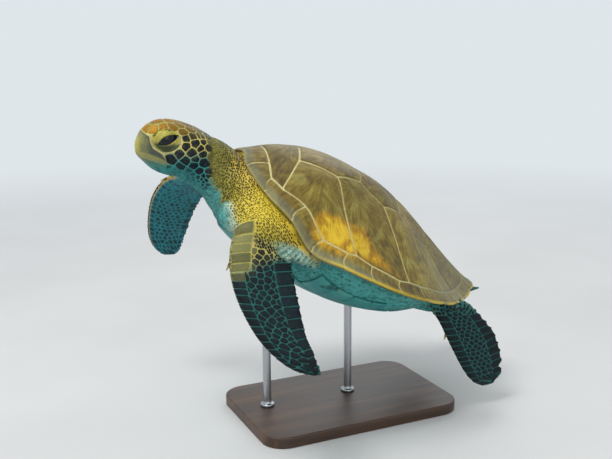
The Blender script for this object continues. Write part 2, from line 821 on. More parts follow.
skin_pairs = edge_pairs(skin_faces)
joint_weight = near_joints(skin_points)
lofts_tree = surface_of(*join_shapes(skin_shapes))
skin_points = relaxed(skin_points, skin_pairs, 0.5, 2)
skin_points = relaxed(skin_points, skin_pairs, 0.75 * joint_weight, 30)
true_points = drawn_to(lofts_tree, skin_points, point_normals(skin_points, skin_faces), 3.0)
skin_points = true_points + (skin_points - true_points) * joint_weight[:, None]
print("skin box, body frame:", skin_points.min(0).round(), skin_points.max(0).round())

# %% [markdown]
# ## The head
# The head carries the finest forms, so its faces are split once, round the eyes twice, and along the
# lids three times. The lids are worked out, not drawn: each point near an eye knows its distance from
# the edge of an almond-shaped opening. Outside the edge it lies on a sphere a lid's thickness over the
# eyeball, and inside it drops behind the eyeball.

# %% Places on the head
EYE_AT = np.array([25.5, 22.0, 24.0])
EYE_RADIUS = 18.5
LID = 2.4
FRONT_CORNER = np.array([44.0, 32.0, 15.0])
REAR_CORNER = np.array([6.4, 43.0, 34.0])
OPENING_LENGTH = 39.0
OPENING_UP = 6.8
OPENING_DOWN = 6.4
ORBIT_AT = np.array([28.0, 35.4, 24.0])
ORBIT_LENGTH = 52.0
ORBIT_HEIGHT = 41.0


EYE_ALONG = unit(REAR_CORNER - FRONT_CORNER)
EYE_ACROSS = unit(np.cross(EYE_ALONG, [0.15, 0.95, 0.25]))
EYE_ACROSS *= np.sign(EYE_ACROSS[2])
OPENING_AT = (FRONT_CORNER + REAR_CORNER) / 2
ORBIT_ALONG = unit([-0.94, 0.32, 0.11])
ORBIT_ACROSS = unit(np.cross(ORBIT_ALONG, [0.15, 0.95, 0.25]))
ORBIT_ACROSS *= np.sign(ORBIT_ACROSS[2])


def folded(points):
    """Head-frame points, with the right side laid over the left."""
    return np.column_stack([points[:, 0], np.abs(points[:, 1]), points[:, 2]])


def lid_distance(head_points):
    """Millimetres outside the eye's opening (above 0) or inside it, and how far above its middle."""
    offset = folded(head_points) - OPENING_AT
    p, q = offset @ EYE_ALONG, offset @ EYE_ACROSS
    half = OPENING_LENGTH / 2
    upper = OPENING_UP * (1 - np.minimum(np.abs((p - 2) / half), 3) ** 2.2)
    lower = -OPENING_DOWN * (1 - np.minimum(np.abs((p - 1) / half), 3) ** 2)
    return np.maximum(np.maximum(q - upper, lower - q), np.abs(p) - half), q


def orbit_share(head_points):
    """0 at the orbit's middle and 1 at its rim."""
    offset = folded(head_points) - ORBIT_AT
    u, v = offset @ ORBIT_ALONG / (ORBIT_LENGTH / 2), offset @ ORBIT_ACROSS / (ORBIT_HEIGHT / 2)
    return np.hypot(u, v)


def on_orbit(turn, share):
    """Points round the left eye at angles on the orbit's oval, at a share of the way to its rim."""
    turn = turn[:, None]
    return ORBIT_AT + share * (
        np.cos(turn) * ORBIT_ALONG * ORBIT_LENGTH / 2 + np.sin(turn) * ORBIT_ACROSS * ORBIT_HEIGHT / 2
    )


def on_head_side(head_points):
    """True near the skin of the head's sides, and not deep under it."""
    return np.abs(head_points[:, 1]) > 18


print("rearmost point of the orbit's rim:", on_orbit(np.zeros(1), 1)[0].round(1))


# %% Split faces where the form is fine
def split(points, faces, wanted):
    """Splits each edge whose two ends are wanted."""
    mesh = editable(points, faces)
    edges = [e for e in mesh.edges if wanted[e.verts[0].index] and wanted[e.verts[1].index]]
    bmesh.ops.subdivide_edges(mesh, edges=edges, cuts=1, use_grid_fill=True)
    bmesh.ops.triangulate(mesh, faces=[f for f in mesh.faces if len(f.verts) > 4])
    return unpacked(mesh)


def head_region(points):
    place = to_head(points)
    return (place[:, 0] > -48) & (np.abs(place[:, 2]) < 62)


skin_points, skin_faces = split(skin_points, skin_faces, head_region(skin_points))
near_eye = head_region(skin_points) & (orbit_share(to_head(skin_points)) < 1.2)
near_eye &= on_head_side(to_head(skin_points))
skin_points, skin_faces = split(skin_points, skin_faces, near_eye)
lid = np.abs(lid_distance(to_head(skin_points))[0] + 0.8)
lid_edge = head_region(skin_points) & (lid < 2.6) & on_head_side(to_head(skin_points))
skin_points, skin_faces = split(skin_points, skin_faces, lid_edge)
skin_pairs = edge_pairs(skin_faces)
in_head = 1.0 * head_region(skin_points)
skin_points = relaxed(skin_points, skin_pairs, 0.5 * in_head, 6)
true_points = drawn_to(lofts_tree, skin_points, point_normals(skin_points, skin_faces), 3.0)
keep = near_joints(skin_points)[:, None]
skin_points = true_points + (skin_points - true_points) * keep
skin_points = relaxed(skin_points, skin_pairs, 0.4 * in_head, 2)
print("skin with a fine head:", len(skin_points), "points")

# %% Sculpt the head
BROW = [np.array([48.0, 29.0, 33.0]), np.array([36.0, 35.0, 44.0]), np.array([20.0, 39.0, 47.0])]


def bump_at(places, centres, reach):
    """A soft mound round one or more centres, 1 at a centre and 0 a reach away."""
    near = np.min([np.linalg.norm(places - centre, axis=1) for centre in centres], axis=0)
    return 1 - smooth(near, 0, reach)


def sculpted_head(points, normals):
    """Brow, cheek, jaw and throat, as moves along the normal, then the lids."""
    place = to_head(points)
    even = folded(place)
    front = smooth(place[:, 0], -55, -38)
    brow_line = [BROW[0] * (1 - t) + BROW[1] * t for t in (0, 0.25, 0.5, 0.75, 1)]
    brow_line += [BROW[1] * (1 - t) + BROW[2] * t for t in (0.25, 0.5, 0.75, 1)]
    move = 1.3 * bump_at(even, brow_line, 9)
    move += 1.6 * bump_at(even, [np.array([-12.0, 46.0, -4.0])], 32)
    move -= 1.0 * bump_at(even, [np.array([20.0, 40.0, -26.0])], 14)
    folds = np.sin(place[:, 0] * 0.55 + 0.04 * np.abs(place[:, 1]))
    move += 0.5 * folds * smooth(-place[:, 2], 36, 46) * (1 - smooth(place[:, 0], 5, 22))
    points = points + normals * (move * front)[:, None]

    place = to_head(points)
    side = np.sign(place[:, 1])
    centre = EYE_AT * np.column_stack([np.ones_like(side), side, np.ones_like(side)])
    ray = place - centre
    reach = np.linalg.norm(ray, axis=1)
    distance, above = lid_distance(place)
    share = orbit_share(place)
    inside = on_head_side(place) & head_region(points) & (share < 1.3)
    within = (1 - smooth(share, 0.72, 1.02)) * inside
    sphere = EYE_RADIUS + LID
    over = 0.5 * (reach + sphere + np.sqrt((reach - sphere) ** 2 + 4.0))
    lidded = reach + (over - reach) * within
    lower = smooth(-above, 0, 3)
    lidded += within * lower * 0.55 * np.cos(distance * 2 * np.pi / 3.4) * (1 - smooth(distance, 6, 9))
    lidded += within * (1 - lower) * 0.22 * np.cos(distance * 2 * np.pi / 2.9) * smooth(distance, 1, 3)
    lidded -= inside * 1.3 * np.exp(-((share - 0.98) / 0.05) ** 2)
    lidded -= inside * 6.5 * smooth(-distance, -0.5, 2.4)
    return from_head(centre + ray / reach[:, None] * lidded[:, None])


skin_points = np.where(
    head_region(skin_points)[:, None],
    sculpted_head(skin_points, point_normals(skin_points, skin_faces)),
    skin_points,
)
print("head box:", to_head(skin_points[head_region(skin_points)]).min(0).round(1))

# %% [markdown]
# ## The shell's plates
# The shell is covered with horny plates that meet in pale seams: one at the nape, five down the back,
# four on each side, and a border of twelve pairs round the rim. Each is a piece of its own, as it can be
# peeled from a real shell. Its outline is drawn in plan and filled with triangles, closer together at
# the edge, then lifted on to the dome and rounded down into the seams.

# %% Outlines of the plates
SEAM = 1.5
PLATE_THICKNESS = 4.0
RIM_ENDS = [
    [265, 50], [239, 119], [192, 171], [147, 204], [86, 222], [22, 226],
    [-45, 219], [-116, 204], [-178, 173], [-233, 131], [-283, 81], [-322, 38],
]
INNER_ENDS = [
    [230, 57], [229, 94], [170, 148], [124, 181], [77, 194], [23, 198],
    [-43, 197], [-100, 181], [-157, 156], [-205, 120], [-255, 72], [-288, 33],
]
COSTAL_FEET = [[211, 119], [59, 192], [-69, 188], [-157, 156], [-233, 95]]
VERTEBRAL_APEXES = [[181, 54], [111, 80], [-6, 79], [-105, 68]]
VERTEBRAL_ENDS = [[181, 54], [52, 56], [-60, 54], [-160, 44]]
VERTEBRAL_SEAMS_X = [232, 170, 44, -66, -164, -298]


def both_sides(half):
    """A half outline, from the midline round and back to it, with its mirror image."""
    return half + [[x, -y] for x, y in half if y > 0][::-1]


def costal_outline(i):
    """Plan outline of costal plate i, on the left side."""
    front, rear = COSTAL_FEET[i], COSTAL_FEET[i + 1]
    feet = [p for p in INNER_ENDS if rear[0] < p[0] < front[0]]
    inner = [VERTEBRAL_ENDS[3]] if i == 3 else [VERTEBRAL_APEXES[i + 1]]
    if 0 < i < 3:
        inner.append(VERTEBRAL_ENDS[i])
    return [VERTEBRAL_APEXES[i], front, *feet, rear, *inner]


def vertebral_outline(i):
    """Plan outline of vertebral plate i."""
    ends, apexes = VERTEBRAL_ENDS, VERTEBRAL_APEXES
    sides = [
        [INNER_ENDS[0], INNER_ENDS[1], COSTAL_FEET[0], ends[0]],
        [ends[0], apexes[1], ends[1]],
        [ends[1], apexes[2], ends[2]],
        [ends[2], apexes[3], ends[3]],
        [ends[3], COSTAL_FEET[4], INNER_ENDS[10], INNER_ENDS[11]],
    ][i]
    return both_sides([[VERTEBRAL_SEAMS_X[i], 0], *sides, [VERTEBRAL_SEAMS_X[i + 1], 0]])


print("corners of the costal plates:", [len(costal_outline(i)) for i in range(4)])


# %% Fill an outline with triangles
def stepped(outline, step):
    """Points about a step apart round a closed outline."""
    result = []
    for p, q in zip(outline, np.roll(outline, -1, axis=0)):
        count = max(int(np.ceil(np.linalg.norm(q - p) / step)), 1)
        result += [p + (q - p) * k / count for k in range(count)]
    return np.array(result)


def smoothed_loop(loop, times):
    for _ in range(times):
        loop = (np.roll(loop, 1, axis=0) + 2 * loop + np.roll(loop, -1, axis=0)) / 4
    return loop


def moved_in(outline, distance):
    """Each side of an outline moved inwards. The outline runs counter-clockwise."""
    before, after = np.roll(outline, 1, axis=0), np.roll(outline, -1, axis=0)
    one, two = unit_rows(outline - before), unit_rows(after - outline)
    turn = unit_rows(one + two)
    reach = distance / np.maximum((turn * one).sum(1), 0.4)
    return outline + np.column_stack([-turn[:, 1], turn[:, 0]]) * reach[:, None]


def counter_clockwise(outline):
    outline = np.array(outline, float)
    outline = outline[np.linalg.norm(outline - np.roll(outline, 1, axis=0), axis=1) > 0.5]
    x, y = outline.T
    area = (x * np.roll(y, -1) - np.roll(x, -1) * y).sum()
    return outline if area > 0 else outline[::-1]


def loop_distance(points, loop):
    """How far each point is from a closed loop."""
    best = np.full(len(points), np.inf)
    for p, q in zip(loop, np.roll(loop, -1, axis=0)):
        side = q - p
        t = np.clip(((points - p) @ side) / max(side @ side, 1e-9), 0, 1)
        best = np.minimum(best, np.linalg.norm(points - p - t[:, None] * side, axis=1))
    return best


def filled(loop, rings=(), spacing=None):
    """Triangles inside a loop, with rings of points just inside it and an even grid in the middle."""
    extra = []
    for ring in rings:
        inner = moved_in(loop, ring)
        extra.append(inner[loop_distance(inner, loop) > ring * 0.9])
    if spacing:
        low, high = loop.min(0), loop.max(0)
        grid = np.array([
            (x, y) for k, y in enumerate(np.arange(low[1], high[1], spacing * 0.866))
            for x in np.arange(low[0] + (k % 2) * spacing / 2, high[0], spacing)
        ])
        extra.append(grid[loop_distance(grid, loop) > rings[-1] + spacing * 0.55])
    points = np.vstack([loop, *extra])
    edges = [(i, (i + 1) % len(loop)) for i in range(len(loop))]
    made = geometry.delaunay_2d_cdt([Vector(p) for p in points], edges, [list(range(len(loop)))], 1, 1e-4)
    return np.array([tuple(p) for p in made[0]]), [tuple(f) for f in made[2]]


def plate_solid(loop, rings, spacing, over, under):
    """A closed plate with a filled top, walls and a plain underside, and its plan's edge distances."""
    plan, faces = filled(loop, rings, spacing)
    _, under_faces = filled(loop)
    count, start = len(loop), len(plan)
    faces += [tuple(start + i for i in reversed(face)) for face in under_faces]
    faces += [(i, start + i, start + (i + 1) % count, (i + 1) % count) for i in range(count)]
    edge = loop_distance(plan, loop)
    points = np.vstack([over(plan, edge), under(loop)])
    return *oriented(points, faces), plan, np.append(edge, np.zeros(count))


print("outline of the first side plate:", costal_outline(0))

# %% Numbers that the shell's finish reads
GOLD_PATCHES = [  # x, |y|, reach along x, reach along y, strength: warm flecks low on the side plates
    (122, 168, 34, 24, 1.0), (84, 172, 28, 26, 1.0), (46, 172, 20, 28, 0.9), (12, 182, 26, 16, 0.6),
    (-24, 188, 40, 12, 0.45), (-100, 165, 40, 16, 0.3), (30, 30, 60, 22, 0.35), (-120, 40, 60, 20, 0.25),
]


def gold_at(plan):
    """How golden the shell is at plan points, from 0 to 1."""
    x, y = plan[:, 0], np.abs(plan[:, 1])
    return np.minimum(sum(
        strength * np.exp(-((x - px) / rx) ** 2 - ((y - py) / ry) ** 2)
        for px, py, rx, ry, strength in GOLD_PATCHES
    ), 1)


def fan(plan, centre):
    """Angle and distance of plan points from the corner that a plate's rays spread from."""
    x, y = (plan - centre).T
    return np.arctan2(y, x), np.hypot(x, y)


def soft_noise(points, scale, seed):
    return np.array([noise.noise(Vector(p) * scale + Vector((seed, 0, 0))) for p in points])


print("gold at the crown:", gold_at(np.array([[20.0, 0.0]])).round(2))


# %% Plates of the back and sides
PLATE_RINGS = [0.6, 1.3, 2.3, 3.6]
PLATE_SPACING = 2.6


def dome_plate(name, outline, fan_centre, tone):
    loop = moved_in(stepped(counter_clockwise(outline), 2.2), SEAM / 2)
    loop = smoothed_loop(loop, 3)

    def over(plan, edge):
        flat = on_dome(plan)
        swell = 0.5 * smooth(edge, 2, 26) - 1.5 * (1 - smooth(edge, 0, 2.6))
        swell += 0.10 * np.sin(edge * 0.62) * smooth(edge, 3, 8)
        swell += 0.45 * soft_noise(flat, 0.022, tone * 50)
        return flat + dome_normal(plan) * swell[:, None]

    def under(edge_loop):
        return on_dome(edge_loop) - dome_normal(edge_loop) * PLATE_THICKNESS

    points, faces, plan, edge = plate_solid(loop, PLATE_RINGS, PLATE_SPACING, over, under)
    plan = np.vstack([plan, loop])
    angle, reach = fan(plan, fan_centre)
    numbers = {
        "edge": edge, "ray": angle, "reach": reach, "gold": gold_at(plan),
        "tone": np.full(len(points), tone), "border": np.zeros(len(points)),
        "grey": 0.55 * smooth(-plan[:, 0], 60, 280),
    }
    return name, points, faces, numbers


def shell_tone(number, side):
    """A plate's own shade, from 0 to 1, which differs a little from its neighbour's."""
    return (math.sin(number * 12.9 + side * 4.1) * 43.7) % 1.0


def back_plates():
    """Every plate of the back and sides."""
    for i in range(5):
        front, rear = VERTEBRAL_SEAMS_X[i], VERTEBRAL_SEAMS_X[i + 1]
        centre = (rear + 0.25 * (front - rear), 0)
        yield dome_plate(f"vertebral_{i + 1}", vertebral_outline(i), centre, shell_tone(i, 0))
    for i in range(4):
        outline = costal_outline(i)
        top, rear = np.array(VERTEBRAL_APEXES[i]), np.array(outline[-1])
        centre = 0.45 * top + 0.55 * rear + np.array([-6, 10])
        for word, side in (("left", 1), ("right", -1)):
            turned = [[x, side * y] for x, y in outline]
            yield dome_plate(f"costal_{word}_{i + 1}", turned, centre * [1, side], shell_tone(i + 7, side))


print("shades of the left costal plates:", [round(shell_tone(i + 7, 1), 2) for i in range(4)])


# %% Plates of the border
BORDER_STEPS = 22
TOP_STEPS = 12
RIM_SECTION = [  # share of the radius and drop below the rim, round the edge and under it
    (0.984, 0.5), (0.994, 1.5), (1.0, 3.2), (0.997, 4.8), (0.985, 6.6), (0.965, 8.6), (0.935, 10.4),
    (0.9, 11.6), (0.864, 12.4), (0.868, 7.0),
]
SEAM_BOW = 4.0


def polyline_at(line, u):
    """Points at shares u of a line's length."""
    line = np.array(line, float)
    length = np.append(0, np.cumsum(np.linalg.norm(np.diff(line, axis=0), axis=1)))
    return np.column_stack([np.interp(u * length[-1], length, line[:, k]) for k in range(2)])


def border_plate(name, inner, rim_from, rim_to, tone, notch):
    """A plate that folds over the rim: inner edge, top, round edge and underside."""
    bearings = np.unwrap([math.atan2(p[1], p[0] - DOME_CENTRE[0]) for p in (rim_from, rim_to)])
    chord = np.linalg.norm(np.subtract(rim_to, rim_from))
    margin = SEAM / 2 / chord
    u = margin + (1 - 2 * margin) * (1 - np.cos(np.pi * np.arange(BORDER_STEPS + 1) / BORDER_STEPS)) / 2
    u = 0.65 * u + 0.35 * np.linspace(margin, 1 - margin, BORDER_STEPS + 1)
    bearing = bearings[0] + (bearings[1] - bearings[0]) * u
    rim = rim_towards(DOME_CENTRE[0] + 100 * np.cos(bearing), 100 * np.sin(bearing))
    start = polyline_at(inner, u)
    width = np.linalg.norm(rim[:, :2] - start, axis=1)
    tip = 1 - notch * (1 - np.sin(np.pi * u) ** 0.6)
    from_end = np.minimum(u, 1 - u) * chord
    groove = -1.4 * (1 - smooth(from_end - SEAM / 2, 0, 2.4))
    along_seam = unit(np.subtract(rim_to, rim_from))
    rows, edge, rimward = [], [], []
    for k in range(TOP_STEPS):
        v = SEAM / 2 / width + (1 - (SEAM / 2 + 7) / width) * k / (TOP_STEPS - 1)
        plan = start + (rim[:, :2] - start) * v[:, None]
        plan = plan - along_seam * (SEAM_BOW * np.sin(np.pi * v))[:, None]
        from_inner = v * width - SEAM / 2
        inner_groove = -1.4 * (1 - smooth(from_inner, 0, 2.4))
        lift = np.minimum(groove, inner_groove) + 0.3 * soft_noise(on_dome(plan), 0.03, tone * 9)
        rows.append(on_dome(plan) + dome_normal(plan) * lift[:, None])
        edge.append(np.minimum(from_end - SEAM / 2, from_inner))
        rimward.append((1 - v) * width)
    middle = np.column_stack([np.full(len(u), DOME_CENTRE[0]), np.zeros(len(u)), np.full(len(u), 60.0)])
    for r, drop in RIM_SECTION:
        point = under_point(np.full(len(u), r), rim, drop)
        squeezed = 1 + (tip - 1) * smooth(r, 0.9, 1.0)
        point[:, :2] = DOME_CENTRE + (point[:, :2] - DOME_CENTRE) * squeezed[:, None]
        inwards = unit_rows(middle - point)
        rows.append(point - inwards * groove[:, None])
        edge.append(from_end - SEAM / 2)
        rimward.append(np.full(len(u), (1 - r) * HALF_WIDTH if drop < 4 else -drop))
    rows.append(rows[0] - dome_normal(rows[0][:, :2]) * (PLATE_THICKNESS - 1))
    edge.append(np.zeros(len(u)))
    rimward.append(rimward[0])
    grid = np.array(rows)
    count, sides = len(u), len(rows)
    faces = [
        (a * count + b, a * count + b + 1, (a + 1) % sides * count + b + 1, (a + 1) % sides * count + b)
        for a in range(sides) for b in range(count - 1)
    ]
    faces += [tuple(a * count for a in range(sides)), tuple(a * count + count - 1 for a in range(sides))]
    points = grid.reshape(-1, 3)
    x = points[:, 0]
    rimward = np.concatenate(rimward)
    border = np.where(rimward < -5.5, 0.0, 1.0 - smooth(rimward, 1.5, 5.0))
    outward = 1 - smooth(rimward, 3, 20)
    numbers = {
        "edge": np.maximum(np.concatenate(edge), 0), "ray": np.tile(u * chord * 0.02, sides),
        "reach": np.abs(rimward), "gold": gold_at(points[:, :2]), "tone": np.full(len(points), tone),
        "border": border * (1 - 0.7 * smooth(x, 80, 140)),
        "grey": np.maximum(outward * smooth(x, -30, 60), 0.6 * smooth(-x, 60, 260)),
    }
    return name, *oriented(points, faces), numbers


def border_plates():
    """Every plate of the border."""
    yield border_plate(
        "nuchal", [[230, -57], [232, 0], [230, 57]], [265, -50], [265, 50], 0.35, 0.0,
    )
    for word, side in (("left", 1), ("right", -1)):
        for i in range(12):
            last = i == 11
            rim_from, rim_to = RIM_ENDS[i], [-340, 0] if last else RIM_ENDS[i + 1]
            inner_to = [VERTEBRAL_SEAMS_X[5], 0] if last else INNER_ENDS[i + 1]
            between = [p for p in COSTAL_FEET if inner_to[0] < p[0] < INNER_ENDS[i][0]]
            inner = [INNER_ENDS[i], *between, inner_to]
            turned = [[[x, side * y] for x, y in line] for line in (inner, [rim_from, rim_to])]
            name = f"supracaudal_{word}" if last else f"marginal_{word}_{i + 1}"
            notch = 0.016 if i > 6 else 0.004
            yield border_plate(name, turned[0], *turned[1], shell_tone(i + 20, side), notch)


print("middle of a bent line:", polyline_at([[0, 0], [2, 0], [2, 2]], np.array([0.5]))[0])


# %% [markdown]
# Under the plates lies a thin bed of pale horn. It is what shows in the seams, so they read as fine
# light lines wherever two plates meet, without any line having to be drawn.

# %% The pale bed in the seams
BED_DEPTH = 1.25


def seam_bed():
    rim = RIM_FINE
    plan_radii = np.append(np.linspace(0.02, 0.9, 34), [0.93, 0.955, 0.972])
    rings = []
    for r in plan_radii:
        plan = DOME_CENTRE + (rim[:, :2] - DOME_CENTRE) * r
        rings.append(on_dome(plan) - dome_normal(plan) * BED_DEPTH)
    narrow = 1 - BED_DEPTH / HALF_WIDTH
    for r, drop in RIM_SECTION[:-1]:
        rings.append(under_point(r * narrow, rim, drop - (BED_DEPTH if drop > 4 else -0.6)))
    rings.append(under_point(0.6, rim, 8))
    return oriented(*loft(rings))


shell_plates = [*back_plates(), *border_plates()]
print("shell plates:", len(shell_plates), "triangles about", sum(len(p[2]) for p in shell_plates))

# %% [markdown]
# ## The plastron
# The belly's armour is a flat shield of six pairs of pale plates with a row of bridge plates at each
# side, where it meets the shell. It wraps round the belly, so its plates are laid out along the body and
# round it, not in plan: a point is a place along the body and an angle from the keel.

# %% Plates of the belly
BELLY_GROW = 4.6
_, BELLY_POWER, BELLY_WIDEST = BODY_FORMS["belly"]
ARC_WIDTH = 186  # the half width that arcs are counted in
BELLY_FINE = finer(BELLY_ROWS, 12)[::-1]


def belly_row(x):
    return [np.interp(x, BELLY_FINE[:, 0], BELLY_FINE[:, k]) for k in (1, 2, 3)]


def on_belly(plan, grow):
    """Body points for (x, arc) on the underside; arc is millimetres from the keel, by the half width."""
    half, top, bottom = belly_row(plan[:, 0])
    middle = bottom + (top - bottom) * BELLY_WIDEST
    angle = plan[:, 1] / ARC_WIDTH * (np.pi / 2)
    y = (half + grow) * rounded(np.sin(angle), BELLY_POWER)
    z = middle - (middle - bottom + grow) * np.abs(np.cos(angle)) ** (2 / BELLY_POWER)
    return np.column_stack([plan[:, 0], y, z])


def belly_arc(x, y):
    """The arc that lies over y at a place along the body."""
    half, _, _ = belly_row(x)
    share = np.clip(abs(y) / (half + BELLY_GROW), 0, 0.995) ** (BELLY_POWER / 2)
    return math.copysign(math.asin(share) / (np.pi / 2) * ARC_WIDTH, y)


PLASTRON_SEAMS = [  # place on the midline, then place on the bridge plates' inner edge
    (236, 228), (196, 176), (118, 92), (34, 20), (-62, -56), (-158, -116), (-240, -240),
]
BRIDGE_INNER = 118
BRIDGE_SEAMS = [88, 48, 6, -34, -66]


def belly_outline(front, rear, side):
    """One plate between two seams, from the midline out to the shield's edge or the bridge plates."""
    outer = []
    for x in np.linspace(front[1], rear[1], 9):
        outer.append([x, min(plastron_edge(x), BRIDGE_INNER)])
    front_line = [[front[0] + (front[1] - front[0]) * t, outer[0][1] * t] for t in (0, 0.5)]
    rear_line = [[rear[0] + (rear[1] - rear[0]) * t, outer[-1][1] * t] for t in (0.5, 0)]
    outline = front_line + outer + rear_line
    return [[x, side * belly_arc(x, max(y, 0.01))] for x, y in outline]


def belly_plate(outline):
    loop = moved_in(stepped(counter_clockwise(outline), 3.0), SEAM / 2 - 0.3)
    loop = smoothed_loop(loop, 4)
    facing = lambda plan: unit_rows(on_belly(plan, 1.0) - on_belly(plan, 0.0))

    def over(plan, edge):
        swell = BELLY_GROW + 0.5 * smooth(edge, 1, 18) - 1.2 * (1 - smooth(edge, 0, 2.6))
        return on_belly(plan, 0.0) + facing(plan) * swell[:, None]

    def under(edge_loop):
        return on_belly(edge_loop, 0.0) - facing(edge_loop) * 1.5

    points, faces, _, edge = plate_solid(loop, [0.7, 1.5, 2.6], 4.5, over, under)
    return points, faces, edge


def bridge_outline(front, rear, side):
    """One bridge plate, between the belly plates and the shell's border."""
    xs = np.linspace(front, rear, 6)
    inner = [[x, min(plastron_edge(x), BRIDGE_INNER)] for x in xs]
    outer = [[x, plastron_edge(x) * 0.995] for x in xs[::-1]]
    return [[x, side * belly_arc(x, y)] for x, y in inner + outer]


def plastron_shape():
    shapes, edges = [], []
    for side in (1, -1):
        outlines = [belly_outline(a, b, side) for a, b in zip(PLASTRON_SEAMS, PLASTRON_SEAMS[1:])]
        outlines += [bridge_outline(a, b, side) for a, b in zip(BRIDGE_SEAMS, BRIDGE_SEAMS[1:])]
        for outline in outlines:
            points, faces, edge = belly_plate(outline)
            shapes.append((points, faces))
            edges.append(edge)
    return *join_shapes(shapes), np.concatenate(edges)


plastron_points, plastron_faces, plastron_edges = plastron_shape()
print("plastron:", len(plastron_faces), "faces")


# %% [markdown]
# ## Eyes
# A turtle's eye is large and almost black in the light, with a wet shine. The ball has a slight swell in
# front, as a cornea has, and turns a little forward in its socket.

# %% Eyeballs
EYE_OUT = unit([0.22, 0.95, 0.08])
CORNEA_SWELL = 0.7


def eyeball(side):
    rings, around = [], circle(64)
    first = unit(np.cross(EYE_OUT, [0, 0, 1]))
    second = np.cross(EYE_OUT, first)
    for angle in np.linspace(0.03, np.pi - 0.03, 44):
        swell = CORNEA_SWELL * np.exp(-((angle / 0.55) ** 2))
        ring = (EYE_RADIUS + swell) * (
            np.cos(angle) * EYE_OUT
            + np.sin(angle) * (np.cos(around)[:, None] * first + np.sin(around)[:, None] * second)
        )
        rings.append(EYE_AT + ring)
    points, faces = loft(rings)
    facing = unit_rows(points - EYE_AT) @ EYE_OUT
    if side < 0:
        points = mirrored(points)
    points, faces = oriented(from_head(points), faces)
    return points, faces, {"facing": facing}


print("points of an eyeball:", len(eyeball(1)[0]))


# %% [markdown]
# ## The beak
# Horn covers the jaws like a parrot's bill, but blunter. Each sheath is the head's own form, swollen by
# a fraction and cut with the sheath's side view. A fine remesh rounds its edges, so it has the look of
# a thick, worn nail.

# %% Beak sheaths
UPPER_SHEATH = [
    [90, 60], [66, 36], [58, 31.5], [52.5, 28.5], [51, 19], [47, 10], [40, 6], [33, 2], [28, -5],
    [23.5, -17], [30, -14.3], [36, -11.4], [43, -8.6], [51, -6.7], [58, -5.6], [66, -5.2],
    [72, -6.2], [90, -6],
]
LOWER_SHEATH = [  # its upper edge lies inside the upper sheath
    [90, -4], [72, -4], [66, -3], [58, -3.4], [51, -4.4], [43, -6.3], [36, -9.2], [30, -12.4],
    [24.5, -18.6], [25, -26], [34, -28.5], [44, -30], [58, -36], [90, -50],
]
UPPER_GROW, LOWER_GROW = 0.8, 0.0
SHEATH_VOXEL = 0.8


def prism_object(outline, half_depth):
    """A wall-sided block across the head, from an outline in its side view."""
    count = len(outline)
    points = [[x, side * half_depth, z] for side in (1, -1) for x, z in outline]
    faces = [tuple(range(count)), tuple(range(2 * count - 1, count - 1, -1))]
    faces += [(i, (i + 1) % count, count + (i + 1) % count, count + i) for i in range(count)]
    return mesh_object("prism", *oriented(points, faces))


def sheath(outline, sink, grow):
    form = loft(cross_rings("head", grow, sides=128, steps=16))
    made = mesh_object("sheath", *oriented(*form))
    cutter = prism_object(outline, 80)
    cut = made.modifiers.new("cut", "BOOLEAN")
    cut.operation = "INTERSECT"
    cut.solver = "MANIFOLD"
    cut.object = cutter
    fine = made.modifiers.new("round", "REMESH")
    fine.mode = "VOXEL"
    fine.voxel_size = SHEATH_VOXEL
    points, faces = evaluated(made)
    bpy.data.objects.remove(cutter)
    pairs = edge_pairs(faces)
    points = relaxed(points, pairs, 0.5, 5)
    middle = bump_at(points, [np.array([72.0, 0.0, sink])], 14)
    points[:, 0] += 1.2 * middle
    return from_head(points), faces


print("corners of the sheaths' outlines:", len(UPPER_SHEATH), len(LOWER_SHEATH))


# %% [markdown]
# ## Claws
# Each flipper keeps one small claw on its leading edge. It is a cone that bends, made of rings that
# shrink along a short arc.

# %% Claws
CLAW_ROW = 3.6
CLAW_LENGTH = 12.0
CLAW_RADIUS = 3.7


def claw(rows):
    edge = along(rows, CLAW_ROW)
    tip = along(rows, CLAW_ROW + 1)
    out, onward = unit(edge[:3] - edge[3:6]), unit(tip[:3] - edge[:3])
    aim, across = unit(out + onward), unit(np.cross(out, onward))
    lift = np.cross(across, aim)
    around = circle(24)
    rings = []
    for t in np.linspace(0, 1, 14):
        middle = edge[:3] + aim * (CLAW_LENGTH * t - CLAW_RADIUS) + onward * 2.2 * t * t
        radius = CLAW_RADIUS * (1 - t) ** 0.7 * (1 - 0.2 * t) + 0.12
        spokes = np.cos(around)[:, None] * across * 0.8 + np.sin(around)[:, None] * lift
        rings.append(middle + radius * spokes)
    points, faces = oriented(*loft(rings))
    reach = (points - edge[:3]) @ aim
    return points, faces, {"reach": reach}


print("claw, mm:", CLAW_LENGTH, "long and", 2 * CLAW_RADIUS, "thick at its root")


# %% [markdown]
# ## Where each spot of skin belongs
# Skin and scales share their markings, so both ask the same question: which part of the body is this, how
# far along it, and how far round? The lofts know, because each of their points has a place in its rows. A
# search tree over those points answers for any other point.

# %% A map of the body
NECK_PART, TAIL_PART, FIRST_LIMB = 1, 3, 4  # the head is part 0 and the belly part 2


def body_map():
    """A search tree over all lofts, and each point's part, place along the rows and share round."""
    head, *others = [cross_rings(part, 0) for part in BODY_FORMS]
    limbs = [limb_rings(rows) for rows, _ in LIMBS.values()]
    ring_sets = [[from_head(ring) for ring in head], *others, *limbs]
    points, labels = [], []
    for part, rings in enumerate(ring_sets):
        rings = np.array(rings)
        count, sides = rings.shape[:2]
        t, share = np.meshgrid(np.arange(count) * ROW_STEP, np.arange(sides) / sides, indexing="ij")
        points.append(rings.reshape(-1, 3))
        labels.append(np.column_stack([np.full(t.size, part), t.ravel(), share.ravel()]))
    return tree_of(np.vstack(points)), np.vstack(labels)


map_tree, map_labels = body_map()


